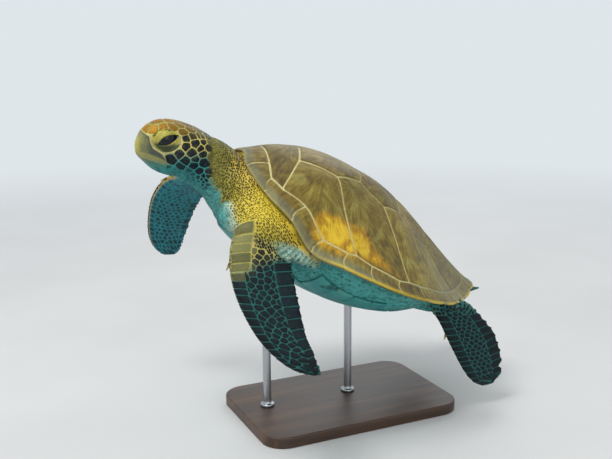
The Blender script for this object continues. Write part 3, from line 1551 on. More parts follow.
def located(points):
    """Part, place along its rows and share round it, for each point."""
    return map_labels[[map_tree.find(point)[1] for point in points]]


RIM_UNDERSIDE = 9  # how far the rim's underside lies below its edge
rim_tree = tree_of(RIM_FINE - [0, 0, RIM_UNDERSIDE])


def from_rim(points):
    """Millimetres from the underside of the shell's rim."""
    return np.array([rim_tree.find(point)[2] for point in points])


print("points on the map:", len(map_labels))

# %% [markdown]
# ## Markings
# One function gives the colours of a spot: that of the bare skin, which shows in the seams and as a
# scale's pale margin, that of the scale's dark middle, and how much of the scale the middle covers. The
# back of the head is boldest: near black scales in cream seams. The shoulder is gold with small dark
# flecks, the flippers are black-green above, and all that faces down is pale sea-green.

# %% Markings of skin and scales
def paint(hex_colour):
    """A written colour in linear light."""
    return np.array(linear(hex_colour)[:3])


def over(base, hex_colour, weight):
    """A colour laid over others by a weight."""
    return base + (paint(hex_colour) - base) * np.clip(weight, 0, 1)[:, None]


def hump(value, centre, width):
    return np.exp(-(((value - centre) / width) ** 2))


GOLD_SHOULDER = np.array([238.0, 140.0, 14.0])
WEB_AT = np.array([166.0, 193.0, -12.0])
WEB_REACH = np.array([44.0, 24.0, 15.0])
WEB_FOLD = 7.5
PALE_LINE = np.array([  # x along the body, and the height below which the throat and breast are sea-green
    [200.0, -70], [240, -50], [260, -27], [276, -6], [283, 8], [293, 10], [314, 20], [322, 36],
]).T
SIDE_OF_PART = np.array([0, 0, 0, 0] + [side for _, side in LIMBS.values()])


def fold_place(across):
    """Where the shoulder's fold crosses a fore flipper, counted in rows; across is 0 in front."""
    return 2.1 + 1.15 * across


def web_share(points):
    """1 in the middle of the stretched skin behind each shoulder, 0 away from it."""
    offset = (folded(points) - WEB_AT) / WEB_REACH
    return np.exp(-(offset**2).sum(1))


def body_marks(points, normals):
    """Skin colour, spot colour and cover on neck, shoulders, belly and tail."""
    below_line = np.interp(points[:, 0], *PALE_LINE) - points[:, 2]
    turned_down = smooth(0.34 * normals[:, 0] - normals[:, 2], -0.05, 0.5)
    steep = smooth(-normals[:, 2], 0.5, 0.85)
    in_front = smooth(points[:, 0], 205, 235)
    flank = smooth(-points[:, 0], -132, -108) * (1 - smooth(-points[:, 0], 165, 205))
    turned_down = np.maximum(turned_down, flank)
    under = turned_down + (np.maximum(smooth(below_line, -9, 9), steep) - turned_down) * in_front
    rear = smooth(-points[:, 0], -130, 20)
    from_shoulder = np.linalg.norm(folded(points) - GOLD_SHOULDER, axis=1)
    gold = hump(from_shoulder, 0, 58)
    reach = from_rim(points)
    rim_band = hump(reach, 8, 16) * smooth(points[:, 0], 112, 150)
    behind_jaw = 1 - smooth(-to_head(points)[:, 0], 58, 84)
    edge = hump(below_line, 2, 12) * in_front * smooth(np.abs(points[:, 1]), 96, 122)
    web = smooth(web_share(points), 0.15, 0.85)
    strand = 0.5 + 0.5 * np.sin(from_shoulder * 2 * np.pi / WEB_FOLD)
    shaded = 0.8 * smooth(-points[:, 0], -132, -104) * hump(reach, 0, 24)
    skin = np.tile(paint("#938c39"), (len(points), 1))
    skin = over(over(skin, "#d8b83e", rim_band), "#f4dc46", gold)
    skin = over(skin, "#3b7c72", rear)
    skin = over(skin, "#4fa9a3", under)
    skin = over(over(skin, "#c9dcc0", 0.85 * edge), "#4d9f9b", web)
    skin = over(skin, "#d3e3c8", web * strand)
    skin = over(skin, "#124f4c", shaded)
    spot = np.tile(paint("#3d3f1e"), (len(points), 1))
    spot = over(over(spot, "#6e5b1e", gold), "#123632", rear)
    spot = over(spot, "#7b7634", 0.8 * behind_jaw)
    spot = over(over(spot, "#43989a", 0.9 * under), "#4a9f9c", 0.9 * flank)
    spot = over(over(over(spot, "#5fae9f", web), "#cfe0c4", web * strand), "#0f403f", shaded)
    cover = 0.86 - 0.2 * gold - 0.22 * under + 0.08 * rear - 0.3 * web
    return skin, spot, cover


def head_marks(points, normals):
    """The head: cream seams and navy sides, a warm brown top and a pale chin."""
    place, facing = to_head(points), normals @ HEAD_TURN
    top = smooth(facing[:, 2], -0.1, 0.2) * smooth(place[:, 2], 29.5, 35)
    low = smooth(-place[:, 2], -14, 14)
    chin = smooth(-facing[:, 2], 0.2, 0.62) * smooth(-place[:, 2], 10, 26)
    share = orbit_share(place)
    lids = 1 - smooth(share, 0.92, 1.04)
    beak_edge = 1 - smooth(loop_distance(place[:, [0, 2]], np.array(UPPER_SHEATH[1:10])), 1.4, 3.4)
    skin = np.tile(paint("#d9cb70"), (len(points), 1))
    skin = over(over(skin, "#3d9c9a", low), "#a29b55", 0.8 * top)
    skin = over(skin, "#2f8d8c", chin)
    skin = over(skin, "#55603a", lids * smooth(-place[:, 2], -24, -14))
    skin = over(skin, "#cfc558", lids * smooth(place[:, 2], 17, 27))
    skin = over(skin, "#ddd48c", np.maximum(hump(share, 1.04, 0.05), 0.8 * beak_edge) * (1 - 0.6 * chin))
    spot = np.tile(paint("#081420"), (len(points), 1))
    spot = over(spot, "#86671a", top)
    spot = over(spot, "#bb8709", top * smooth(place[:, 0], 0, 30))
    spot = over(spot, "#6a5b34", top * smooth(-place[:, 0], 12, 30))
    spot = over(over(spot, "#27807f", chin), "#2a2412", 1 - smooth(share, 0.88, 0.95))
    return skin, spot, 0.99 - 0.4 * chin


def limb_marks(part, t, share):
    """Flippers: black-green above with teal seams, olive plates at the wrist, pale below."""
    fore = part < FIRST_LIMB + 2
    back = -SIDE_OF_PART[part.astype(int)] * np.sin(2 * np.pi * share)
    under = smooth(-back, -0.12, 0.16)
    across = (1 - np.cos(2 * np.pi * share)) / 2
    wrist = fore * (1 - smooth(t + 1.2 * across, 3.6, 4.5))
    skin = np.tile(paint("#1d6a63"), (len(t), 1))
    skin = over(skin, "#d0c268", wrist)
    skin = over(skin, "#8fa84c", 0.6 * np.maximum(hump(across, 0, 0.03), hump(across, 1, 0.03)))
    skin = over(skin, "#2a8b93", under)
    skin = over(skin, "#06222a", fore * smooth(t, 8.5, 8.8))
    skin = over(skin, "#eea927", under * fore * hump(across, 0, 0.035) * smooth(t, 2.5, 3.5))
    skin = over(skin, "#e0952a", under * fore * hump(across, 1, 0.02) * smooth(t, 6, 6.6))
    spot = np.tile(paint("#03141d"), (len(t), 1))
    spot = over(spot, "#848452", wrist * (1 - smooth(across, 0.3, 0.42)))
    spot = over(spot, "#20261c", wrist * smooth(across, 0.36, 0.44) * (1 - smooth(t, 3.0, 3.8)))
    tip = smooth(t, 3.5, 7)
    spot = over(spot, "#1b6c80", under * (1 - 0.6 * tip))
    spot = over(spot, "#0d3f55", under * 0.5 * tip)
    spot = over(spot, "#e59f28", under * fore * hump(across, 0, 0.022) * smooth(t, 2.5, 3.5))
    return skin, spot, 0.99 - 0.3 * under


def marks(points, normals):
    part, t, share = located(points).T
    skin, spot, cover = body_marks(points, normals)
    face = (smooth(to_head(points)[:, 0], -50, -44) * (part <= NECK_PART))[:, None]
    head_skin, head_spot, head_cover = head_marks(points, normals)
    fore = part < FIRST_LIMB + 2
    fold = fold_place((1 - np.cos(2 * np.pi * share)) / 2)
    limb = np.where(fore, smooth(t, fold - 0.2, fold + 0.05), smooth(t, 1.2, 2.4)) * (part >= FIRST_LIMB)
    limb = limb * (1 - smooth(web_share(points), 0.35, 0.7))
    limb_skin, limb_spot, limb_cover = limb_marks(part, t, share)
    mixed = []
    for body_value, head_value, limb_value in (
        (skin, head_skin, limb_skin), (spot, head_spot, limb_spot),
        (cover[:, None], head_cover[:, None], limb_cover[:, None]),
    ):
        value = body_value + (head_value - body_value) * face
        mixed.append(value + (limb_value - value) * limb[:, None])
    return mixed[0], mixed[1], mixed[2][:, 0]


print("a middle grey in linear light:", paint("#808080").round(3))


# %% Folds of the loose skin
def fold_heights(points):
    """The shoulder's overhang, rings round the nape and creases in the web, in millimetres."""
    part, t, share = located(points).T
    fore = (part == FIRST_LIMB) | (part == FIRST_LIMB + 1)
    back = -SIDE_OF_PART[part.astype(int)] * np.sin(2 * np.pi * share)
    past = t - fold_place((1 - np.cos(2 * np.pi * share)) / 2)
    lip = 2.8 * smooth(past, -0.9, -0.14) * (1 - smooth(past, -0.14, 0.1))
    height = fore * smooth(back, -0.1, 0.4) * (lip - hump(past, 0.14, 0.14))
    reach = from_rim(points)
    nape = smooth(points[:, 0], 215, 235) * (1 - smooth(reach, 55, 80)) * (part <= NECK_PART)
    height = height + 0.7 * nape * np.sin(reach * 2 * np.pi / 12)
    return height + 1.1 * web_share(points) * np.sin(reach * 2 * np.pi / 8)


heights = fold_heights(skin_points)
heights = relaxed(np.column_stack([heights] * 3), skin_pairs, 0.5, 3)[:, :1]
skin_points = skin_points + point_normals(skin_points, skin_faces) * heights * (1 - in_head)[:, None]
skin_normals = point_normals(skin_points, skin_faces)
calm_normals = unit_rows(relaxed(skin_normals, skin_pairs, 0.6, 12))
even_normals = unit_rows(relaxed(calm_normals, skin_pairs, 0.8 - 0.6 * in_head, 50))
skin_tint = marks(skin_points, even_normals)[0]
skin_tree = surface_of(skin_points, skin_faces)
print("deepest and highest fold:", heights.min().round(2), heights.max().round(2))

# %% [markdown]
# ## Scales on the flippers
# A flipper's scales are cells: each is the ground that is nearer to its own middle than to any other. A
# limb's face is laid out flat, in millimetres along and across it, the cells are cut there, and each is
# lifted back on to the limb as a thin closed plate that is sunk into the skin and domed a little.
# Broad plates in lanes run down both edges and fold round them; small many-sided ones fill the middle.

# %% Cells
def clipped(outline, toward, limit):
    """The part of a convex outline that reaches less far than the limit in one direction."""
    reach = outline @ toward - limit
    result = []
    for i in range(len(outline)):
        k = (i + 1) % len(outline)
        if reach[i] <= 0:
            result.append(outline[i])
        if reach[i] * reach[k] < 0:
            result.append(outline[i] + (outline[k] - outline[i]) * (reach[i] / (reach[i] - reach[k])))
    return np.array(result)


ROUND = circle(12)


def cell(offsets, radius, radii, reach, seam):
    """The ground nearer to the origin than to its neighbours, larger circles having a larger share."""
    outline = reach * np.column_stack([np.cos(ROUND), np.sin(ROUND)])
    distance = np.linalg.norm(offsets, axis=1)
    for i in np.argsort(distance)[:24]:
        far = distance[i]
        if 0.1 < far < 2.2 * reach + radii[i] and len(outline) > 2:
            limit = (far * far + radius**2 - radii[i] ** 2) / (2 * far) - seam / 2
            outline = clipped(outline, offsets[i] / far, limit)
    return outline


def softened(outline, step):
    """An outline with points about a step apart and round corners."""
    return smoothed_loop(stepped(counter_clockwise(outline), step), 1)


BURIED = -1.0  # the reach of a point on a scale's hidden underside
SCALE_BANDS = [(0.0, -0.7), (0.25, 0.5), (0.8, 0.92)]  # millimetres in from the edge, share of the height


def scale_pattern(outlines):
    """Many scales at once: places, share of the height, reach inwards, spread on a patch, owner, faces."""
    places, rises, reaches, spreads, owners, faces, start = [], [], [], [], [], [], 0
    for owner, outline in enumerate(outlines):
        count = len(outline)
        centre = outline.mean(0)
        size = np.linalg.norm(outline - centre, axis=1).mean()
        rings = [(1 - min(inset / size, 0.3 + 0.1 * k), rise) for k, (inset, rise) in enumerate(SCALE_BANDS)]
        rings.append((0.5, 1.04))
        for share, rise in rings:
            places.append(centre + (outline - centre) * share)
            rises.append(np.full(count, rise))
            reaches.append(np.full(count, 1 - share))
            spreads.append((outline - centre) * share / np.abs(outline - centre).max())
        places.append([centre, centre])
        rises.append([1.08, SCALE_BANDS[0][1]])
        reaches.append([1, BURIED])
        spreads.append([[0, 0], [1, 1]])
        total = count * len(rings) + 2
        owners.append(np.full(total, owner))
        top, under = start + total - 2, start + total - 1
        last = start + count * (len(rings) - 1)
        for i in range(count):
            k = (i + 1) % count
            for ring in range(start, last, count):
                faces.append((ring + i, ring + k, ring + count + k, ring + count + i))
            faces.append((last + i, last + k, top))
            faces.append((start + k, start + i, under))
        start += total
    joined = [np.concatenate(values) for values in (places, rises, reaches, spreads, owners)]
    return *joined, faces


middling = cell(np.array([[9.0, 0], [-9, 0], [0, 9], [0, -9]]), 1, [1] * 4, 9, 1)
print("points of a middling cell:", len(softened(middling, 3)))


# %% A limb's face, laid out flat
class Face:
    """One face of a limb: u is millimetres along it, and v round it from the leading edge."""

    def __init__(self, name, back):
        self.rows, side = LIMBS[name]
        self.sign = -side if back else side
        self.t = np.linspace(0, len(self.rows) - 1, 400)
        fine = along(self.rows, self.t)
        middle = (fine[:, :3] + fine[:, 3:6]) / 2
        self.u = np.append(0, np.cumsum(np.linalg.norm(np.diff(middle, axis=0), axis=1)))
        self.angle = np.linspace(0, np.pi, 90)
        places, angles = np.meshgrid(self.t, self.angle, indexing="ij")
        rings = limb_points(self.rows, places, angles, np.full(places.shape, -SKIN_DEPTH))
        steps = np.linalg.norm(np.diff(rings, axis=1), axis=2)
        self.round = np.column_stack([np.zeros(len(self.t)), np.cumsum(steps, axis=1)])
        self.width = self.round[:, -1]

    def place(self, t):
        return np.interp(t, self.t, self.u)

    def width_at(self, u):
        return np.interp(u, self.u, self.width)

    def lifted(self, u, v, height):
        """Body points over places on the face, at a height over the skin. v may run past both edges."""
        t = np.interp(u, self.u, self.t)
        row = np.clip(np.round(t / self.t[1]).astype(int), 0, len(self.t) - 1)
        share = v / self.width[row]
        within = np.where(share > 1, 2 - share, np.abs(share)) * self.width[row]
        angle = np.array([np.interp(w, self.round[i], self.angle) for w, i in zip(within, row)])
        angle = np.where(share > 1, 2 * np.pi - angle, angle) * np.sign(v + 1e-9) * self.sign
        base = limb_points(self.rows, t, angle, np.full(len(t), -SKIN_DEPTH))
        out = unit_rows(limb_points(self.rows, t, angle, np.full(len(t), 1 - SKIN_DEPTH)) - base)
        joined = near_joints(base) > 0.01
        for i, place in enumerate(base):
            spot, facing, _, _ = skin_tree.find_nearest(place)
            base[i] = spot
            out[i] = facing if joined[i] else out[i]
        return base + out * np.asarray(height)[:, None], base


SCALE_HEIGHT = 1.0
UNDER_HEIGHT = 0.6
FLIPPER_SEAM = 1.15


def lane(rng, u_from, u_to, length, v_from, v_to, skew=0.0):
    """Outlines of broad plates in a row; v_from and v_to give the lane's edges at u."""
    count = max(int(round((u_to - u_from) / length)), 1)
    steps = rng.uniform(0.8, 1.25, count)
    ends = u_from + (u_to - u_from) * np.append(0, np.cumsum(steps)) / steps.sum()
    for low, high in zip(ends, ends[1:]):
        corners = np.array([
            [low, v_from(low)], [high, v_from(high)], [high + skew, v_to(high)], [low + skew, v_to(low)],
        ])
        yield softened(moved_in(counter_clockwise(corners), FLIPPER_SEAM / 2), 2.6)


def middle_cells(face, u_from, u_to, v_from, v_to, spacing, rng, chevron=0.0, fold=None):
    """Many-sided cells between two lanes. spacing(t) gives the cells' length and width."""
    seeds, u, row = [], u_from - 16.0, 0
    while u < u_to:
        length, width = spacing(np.interp(u, face.u, face.t))
        low, high = v_from(u), v_to(u)
        count = max(int(round((high - low) / width)), 1)
        for k in range(count + row % 2):
            v = low + (high - low) * (k + (0.5 if row % 2 == 0 else 0.0)) / count
            shift = rng.uniform(-0.24, 0.24, 2) * (length, width)
            bend = chevron * (abs(v - (low + high) / 2) - (high - low) / 4)
            seeds.append([u + shift[0] - bend, v + shift[1]])
        u += length
        row += 1
    seeds = np.array(seeds)
    radii = rng.uniform(1.0, 3.2, len(seeds))
    for i, seed in enumerate(seeds):
        low, high = v_from(seed[0]), v_to(seed[0])
        edge = 0.16 * (high - low)
        if seed[0] < u_from or not low - edge < seed[1] < high + edge:
            continue
        if fold and seed[0] < fold(seed[1] / face.width_at(seed[0])):
            continue
        outline = cell(seeds - seed, radii[i], radii, 19.0, FLIPPER_SEAM)
        outline = clipped(outline, np.array([0.0, 1.0]), high - seed[1] - FLIPPER_SEAM / 2)
        outline = clipped(outline, np.array([0.0, -1.0]), seed[1] - low - FLIPPER_SEAM / 2)
        if len(outline) > 2:
            rounded_outline = softened(outline + seed, 2.4)
            if len(rounded_outline) > 4 and np.ptp(rounded_outline, axis=0).min() > 2.2:
                yield rounded_outline


print("length and greatest width of a fore flipper:", Face("fore_flipper_left", True).u[-1].round())


# %% Lanes and middles of all faces
def fore_face(name, back, rng):
    """Outlines on one face of a fore flipper."""
    face = Face(name, back)
    root, wrist, tip = face.place(2.05), face.place(3.9), face.place(8.8)
    width = face.width_at
    if back:
        meet = lambda u: smooth(u, tip - 32, tip - 10)
        broad = lambda u: width(u) * (0.34 - 0.12 * smooth(u, wrist - 8, wrist + 14) + 0.27 * meet(u))
        rear = lambda u: width(u) * (0.68 + 0.08 * smooth(u, wrist + 70, tip) - 0.26 * meet(u))
        fold = lambda across: face.place(fold_place(across) + 0.22)
        yield from lane(rng, root, wrist, 14.0, lambda u: -3.6, broad, -2.0)
        yield from lane(rng, wrist, tip, 13.0, lambda u: -3.6, broad, 2.0)
        yield from lane(rng, face.place(3.5), tip, 19.0, rear, lambda u: width(u) + 0.3, -3.0)
        spacing = lambda t: (9.4 + 6.5 * smooth(t, 5.8, 8), 14.0 + 1.5 * smooth(t, 5.8, 8))
        yield from middle_cells(face, root, tip - 4, broad, rear, spacing, rng, 0.25, fold)
    else:
        start = face.place(3.2)
        front, rear = lambda u: 17.0 + 0 * u, lambda u: width(u) * 0.8
        yield from lane(rng, start, tip, 12.0, lambda u: 4.5, front, 3.0)
        yield from lane(rng, face.place(4.25), tip, 17.0, rear, lambda u: width(u) - 4.0, -3.0)
        spacing = lambda t: (8.8 + 8 * smooth(t, 5.8, 8), 11.5 - 1.0 * smooth(t, 5.8, 8))
        yield from middle_cells(face, start, tip - 4, front, rear, spacing, rng, 0.15)


def hind_face(name, back, rng):
    """Outlines on one face of a hind flipper."""
    face = Face(name, back)
    start, tip = face.place(2.7), face.place(6.93)
    width = face.width_at
    reach = 0.8 if back else -4.0
    front, rear = lambda u: width(u) * 0.24, lambda u: width(u) * 0.7
    yield from lane(rng, start, tip, 14.0, lambda u: -reach, front, 2.0)
    yield from lane(rng, start + 8, tip, 17.0, rear, lambda u: width(u) + reach - 0.5, -3.0)
    spacing = lambda t: (9.0 + 6.5 * smooth(t, 4.5, 6.4), 11.5 + 2 * smooth(t, 4.5, 6.4))
    yield from middle_cells(face, start, tip - 4, front, rear, spacing, rng, 0.15)


def limb_scales(name, seed):
    """All scales of one limb: points, faces, owner, reach and each scale's root on the flat map."""
    rng = np.random.default_rng(seed)
    make = fore_face if name.startswith("fore") else hind_face
    shapes, reaches, spreads, owners, roots, bases, count = [], [], [], [], [], [], 0
    for back in (True, False):
        outlines = list(make(name, back, rng))
        places, rises, reach, spread, owner, faces = scale_pattern(outlines)
        face = Face(name, back)
        height = rises * (SCALE_HEIGHT if back else UNDER_HEIGHT)
        points, _ = face.lifted(places[:, 0], places[:, 1], height)
        shapes.append((points, faces))
        reaches.append(reach)
        spreads.append(spread)
        owners.append(owner + count)
        count += len(outlines)
        middles = np.array([outline.mean(0) for outline in outlines])
        share = 0.25 * middles[:, 1] / face.width_at(middles[:, 0]) + (0.0 if back else 0.5)
        roots.append(np.column_stack([middles[:, 0] / face.u[-1], share * 2]))
        bases.append(face.lifted(middles[:, 0], middles[:, 1], np.zeros(len(middles)))[1])
    points, faces = join_shapes(shapes)
    owners, reaches = np.concatenate(owners), np.concatenate(reaches)
    return points, faces, owners, reaches, np.vstack(spreads), np.vstack(roots), np.vstack(bases)


print("length of a fore flipper's back, mm:", round(float(Face("fore_flipper_left", True).u[-1])))


# %% [markdown]
# ## One coat piece
# Every coat piece ends in the same way. Each scale takes its colours from the skin at its root, and a
# shade of its own. It also gets a small patch on a flat map, at its root's place, so that the colours of
# thousands of scales can be kept in one picture later. The undersides, which nobody sees, are folded to
# the patch's edge.

# %% Making a coat piece
PATCH = 0.003

point_tree = tree_of(skin_points)


def nearest_points(points):
    """Numbers of the skin's points that lie nearest to the points."""
    return np.array([point_tree.find(point)[1] for point in points])


def nearest_skin(points):
    """Places on the skin nearest to the points."""
    return np.array([skin_tree.find_nearest(point)[0] for point in points])


def coat_piece(name, finish, points, faces, owner, reach, spread, roots, bases):
    """A piece of many scales. roots are places on the flat map, bases the skin under each scale."""
    points, faces = oriented(points, faces)
    tint, spot, cover = marks(bases, even_normals[nearest_points(bases)])
    shade = np.random.default_rng(len(bases)).random(len(bases))
    numbers = {
        "reach": np.maximum(reach, 0), "cover": cover[owner], "shade": shade[owner],
        "skin_tint": tint[owner], "spot_tint": spot[owner],
    }
    mesh = piece(name, points, faces, finish, numbers=numbers).data
    flat = np.clip(roots, 0.01, 0.99)[owner] + spread * PATCH / 2
    loop_points = np.empty(len(mesh.loops), np.int32)
    mesh.loops.foreach_get("vertex_index", loop_points)
    sizes = np.empty(len(mesh.polygons), np.int32)
    mesh.polygons.foreach_get("loop_total", sizes)
    face_of_loop = np.repeat(np.arange(len(sizes)), sizes)
    underside = np.full(len(sizes), -1)
    buried = reach[loop_points] == BURIED
    underside[face_of_loop[buried]] = loop_points[buried]
    folded_away = underside[face_of_loop]
    layer = mesh.uv_layers.new(name="OFBake")
    layer.data.foreach_set("uv", flat[np.where(folded_away >= 0, folded_away, loop_points)].ravel())


print("patch on the flat map:", PATCH)


# %% [markdown]
# ## Scales on the head
# A green turtle's face is known by its large dark scales in pale seams, so their middles are placed by
# hand and mirrored. Small ones fill whatever ground is left. The cells are cut in the plane that touches
# the skin at each middle, then laid on the skin.

# %% Middles of the head's scales
SIDE_SCALES = [  # x and z in the head's frame, and the circle that the scale wants
    (-5, 29, 6.5), (-22.5, 20, 6.5), (-5, 16, 6), (-15, 6, 6.5), (-38, 21, 3.6), (-31, 12, 5.2),
    (-45, 13, 4.6),
    (-35, 3, 5.4), (7, 4, 7), (20, -7, 8.5), (-5, -9, 5.6), (-21, -6, 4.6), (-19, -17, 6.2), (-37, -12, 6.6),
    (2, -20, 5.2), (-12, -27, 4.2), (-34.5, 30.5, 6.4), (-30, -28, 5),
]
TOP_SCALES = [  # x, y and the circle
    (58, 8, 6), (46, 20, 8), (37, 0, 9.5), (30, 24, 8), (16, 0, 9), (15, 24, 7.5), (1, 14, 8), (-2, 31, 6.5),
    (-14, 0, 8.5), (-17, 18, 8.5), (-18, 33, 5.4), (-32, 9, 7.5), (-33, 25, 6), (-45, 0, 6), (-45, 17, 5.6),
]
HEAD_SEAM = 1.3
FILL_RADIUS = 2.9
FILL_KEEP_OFF = 1.75  # how far small scales keep off the placed ones, in their circles


def hit_skin(head_origin, head_direction):
    """Where a ray in the head's frame first meets the skin."""
    origin, way = from_head([head_origin])[0], np.asarray(head_direction, float) @ HEAD_TURN.T
    spot, facing, _, _ = skin_tree.ray_cast(Vector(origin), Vector(way))
    return np.array(spot), np.array(facing)


def placed_scales():
    """Places and circles of the scales that were placed by hand, both sides."""
    spots, radii = [], []
    for x, z, radius in SIDE_SCALES:
        for side in (1, -1):
            spots.append(hit_skin([x, side * 90, z], [0, -side, 0])[0])
            radii.append(radius)
    for x, y, radius in TOP_SCALES:
        for side in ((1, -1) if y else (1,)):
            spots.append(hit_skin([x, side * y, 90], [0, 0, -1])[0])
            radii.append(radius)
    return np.array(spots), np.array(radii)


def inside_outline(points, outline):
    """True for points in the plane that lie inside an outline."""
    outline = np.array(outline, float)
    inside = np.zeros(len(points), bool)
    for (ax, ay), (bx, by) in zip(outline, np.roll(outline, -1, axis=0)):
        crosses = (ay > points[:, 1]) != (by > points[:, 1])
        at = ax + (points[:, 1] - ay) * (bx - ax) / np.where(by == ay, 1e-9, by - ay)
        inside ^= crosses & (points[:, 0] < at)
    return inside


def on_beak(head_points, outlines):
    return np.any([inside_outline(head_points[:, [0, 2]], outline) for outline in outlines], axis=0)


def sprinkled(wanted, density, rng):
    """Random places on the skin's wanted faces, with the number of a skin point near each."""
    triangles = np.array([
        (face[0], face[i], face[i + 1]) for face in skin_faces if all(wanted[k] for k in face)
        for i in range(1, len(face) - 1)
    ])
    a, b, c = (skin_points[triangles[:, k]] for k in range(3))
    area = np.linalg.norm(np.cross(b - a, c - a), axis=1) / 2
    chosen = rng.choice(len(triangles), int(area.sum() * density), p=area / area.sum())
    s, t = rng.random((2, len(chosen), 1))
    s, t = np.where(s + t > 1, 1 - s, s), np.where(s + t > 1, 1 - t, t)
    return a[chosen] + (b - a)[chosen] * s + (c - a)[chosen] * t, triangles[chosen, 0]


NEIGHBOURS = [(x, y, z) for x in (-1, 0, 1) for y in (-1, 0, 1) for z in (-1, 0, 1)]


def squared_distance(a, b):
    """The square of the distance between two points."""
    return (a[0] - b[0]) ** 2 + (a[1] - b[1]) ** 2 + (a[2] - b[2]) ** 2


def spaced(points, gap, taken, taken_gap):
    """Numbers of points picked in order, each at least its gap from those before it."""
    size = float(max(np.max(gap), np.max(taken_gap))) * 1.01
    grid, kept = {}, []

    def home(point):
        return int(point[0] // size), int(point[1] // size), int(point[2] // size)

    for point, reach in zip(taken, taken_gap):
        grid.setdefault(home(point), []).append((*point, reach))
    for number, (point, reach) in enumerate(zip(points.tolist(), gap)):
        x, y, z = home(point)
        near = [other for i, j, k in NEIGHBOURS for other in grid.get((x + i, y + j, z + k), ())]
        if all(squared_distance(point, other) > ((reach + other[3]) / 2) ** 2 for other in near):
            grid.setdefault((x, y, z), []).append((*point, reach))
            kept.append(number)
    return np.array(kept, int)


def head_seeds():
    """Places, circles and whether built, for all cells on the head."""
    spots, radii = placed_scales()
    rng = np.random.default_rng(11)
    place = to_head(skin_points)
    wanted = (place[:, 0] > -50) & (located(skin_points)[:, 0] <= NECK_PART)
    loose, _ = sprinkled(wanted, 0.35, rng)
    loose_place = to_head(loose)
    off_beak = ~on_beak(loose_place, [UPPER_SHEATH, LOWER_SHEATH])
    strip = (loose_place[:, 0] > 24) & (loose_place[:, 2] < 34) & (loose_place[:, 2] > -20)
    loose = loose[off_beak & (orbit_share(loose_place) > 1.1) & ~strip]
    gap = np.full(len(loose), 2 * FILL_RADIUS)
    fill = loose[spaced(loose, gap, spots, 2 * radii * FILL_KEEP_OFF)]
    ring = loose_ring()
    seeds = np.vstack([spots, fill, ring])
    circles = np.concatenate([radii, np.full(len(fill), FILL_RADIUS), np.full(len(ring), 2.0)])
    built = np.arange(len(seeds)) < len(spots) + len(fill)
    return seeds, circles, built & ~on_beak(to_head(seeds), [UPPER_SHEATH, LOWER_SHEATH])


def loose_ring():
    """Places just inside the rims of both orbits, which keep the cells off the lids."""
    ring = on_orbit(circle(30), 0.97)
    return nearest_skin(from_head(np.vstack([ring, mirrored(ring)])))


print("places set by hand:", len(SIDE_SCALES), "on the side and", len(TOP_SCALES), "on top")


# %% Head cells
HEAD_SCALE_HEIGHT = 0.9


def touching_plane(facing, way):
    """Two directions in the plane that touches the skin, the first as near to `way` as it can be."""
    first = unit_rows(way - facing * (way * facing).sum(1)[:, None])
    return first, np.cross(facing, first)


def head_scales():
    seeds, circles, built = head_seeds()
    facing = calm_normals[nearest_points(seeds)]
    forward = np.tile(np.array([1.0, 0, 0]) @ HEAD_TURN.T, (len(seeds), 1))
    first, second = touching_plane(facing, forward)
    outlines, owners = [], []
    for i in np.flatnonzero(built):
        offset = seeds - seeds[i]
        near = (np.linalg.norm(offset, axis=1) < 34) & (facing @ facing[i] > 0.1)
        flat = np.column_stack([offset[near] @ first[i], offset[near] @ second[i]])
        outline = cell(flat, circles[i], circles[near], min(circles[i] * 1.6 + 3, 15), HEAD_SEAM)
        if len(outline) > 2 and np.ptp(outline, axis=0).min() > 2.0:
            outline = softened(outline, 1.8 if circles[i] > 4 else 1.6)
            if len(outline) > 5:
                outlines.append(outline)
                owners.append(i)
    places, rises, reach, spread, owner, faces = scale_pattern(outlines)
    seed_of = np.array(owners)[owner]
    guess = seeds[seed_of] + first[seed_of] * places[:, :1] + second[seed_of] * places[:, 1:]
    spots = nearest_skin(guess)
    points = spots + calm_normals[nearest_points(spots)] * (rises * HEAD_SCALE_HEIGHT)[:, None]
    bases = seeds[owners]
    place = to_head(bases)
    angle = np.arctan2(place[:, 1], place[:, 2]) / (2 * np.pi) + 0.5
    roots = np.column_stack([(place[:, 0] + 60) / 140, angle])
    return points, faces, owner, reach, spread, roots, bases


print("height of the head's scales, mm:", HEAD_SCALE_HEIGHT)


# %% [markdown]
# ## Fine scales on neck, shoulders and rump
# There are thousands of these, all much alike: little rounded plates in rows that run round the neck and
# parallel to the shell's rim. Geometry Nodes suit them. The script works out where each one lies, which
# way it faces and how long and wide it is; the node tree puts a plate there and makes it real mesh.

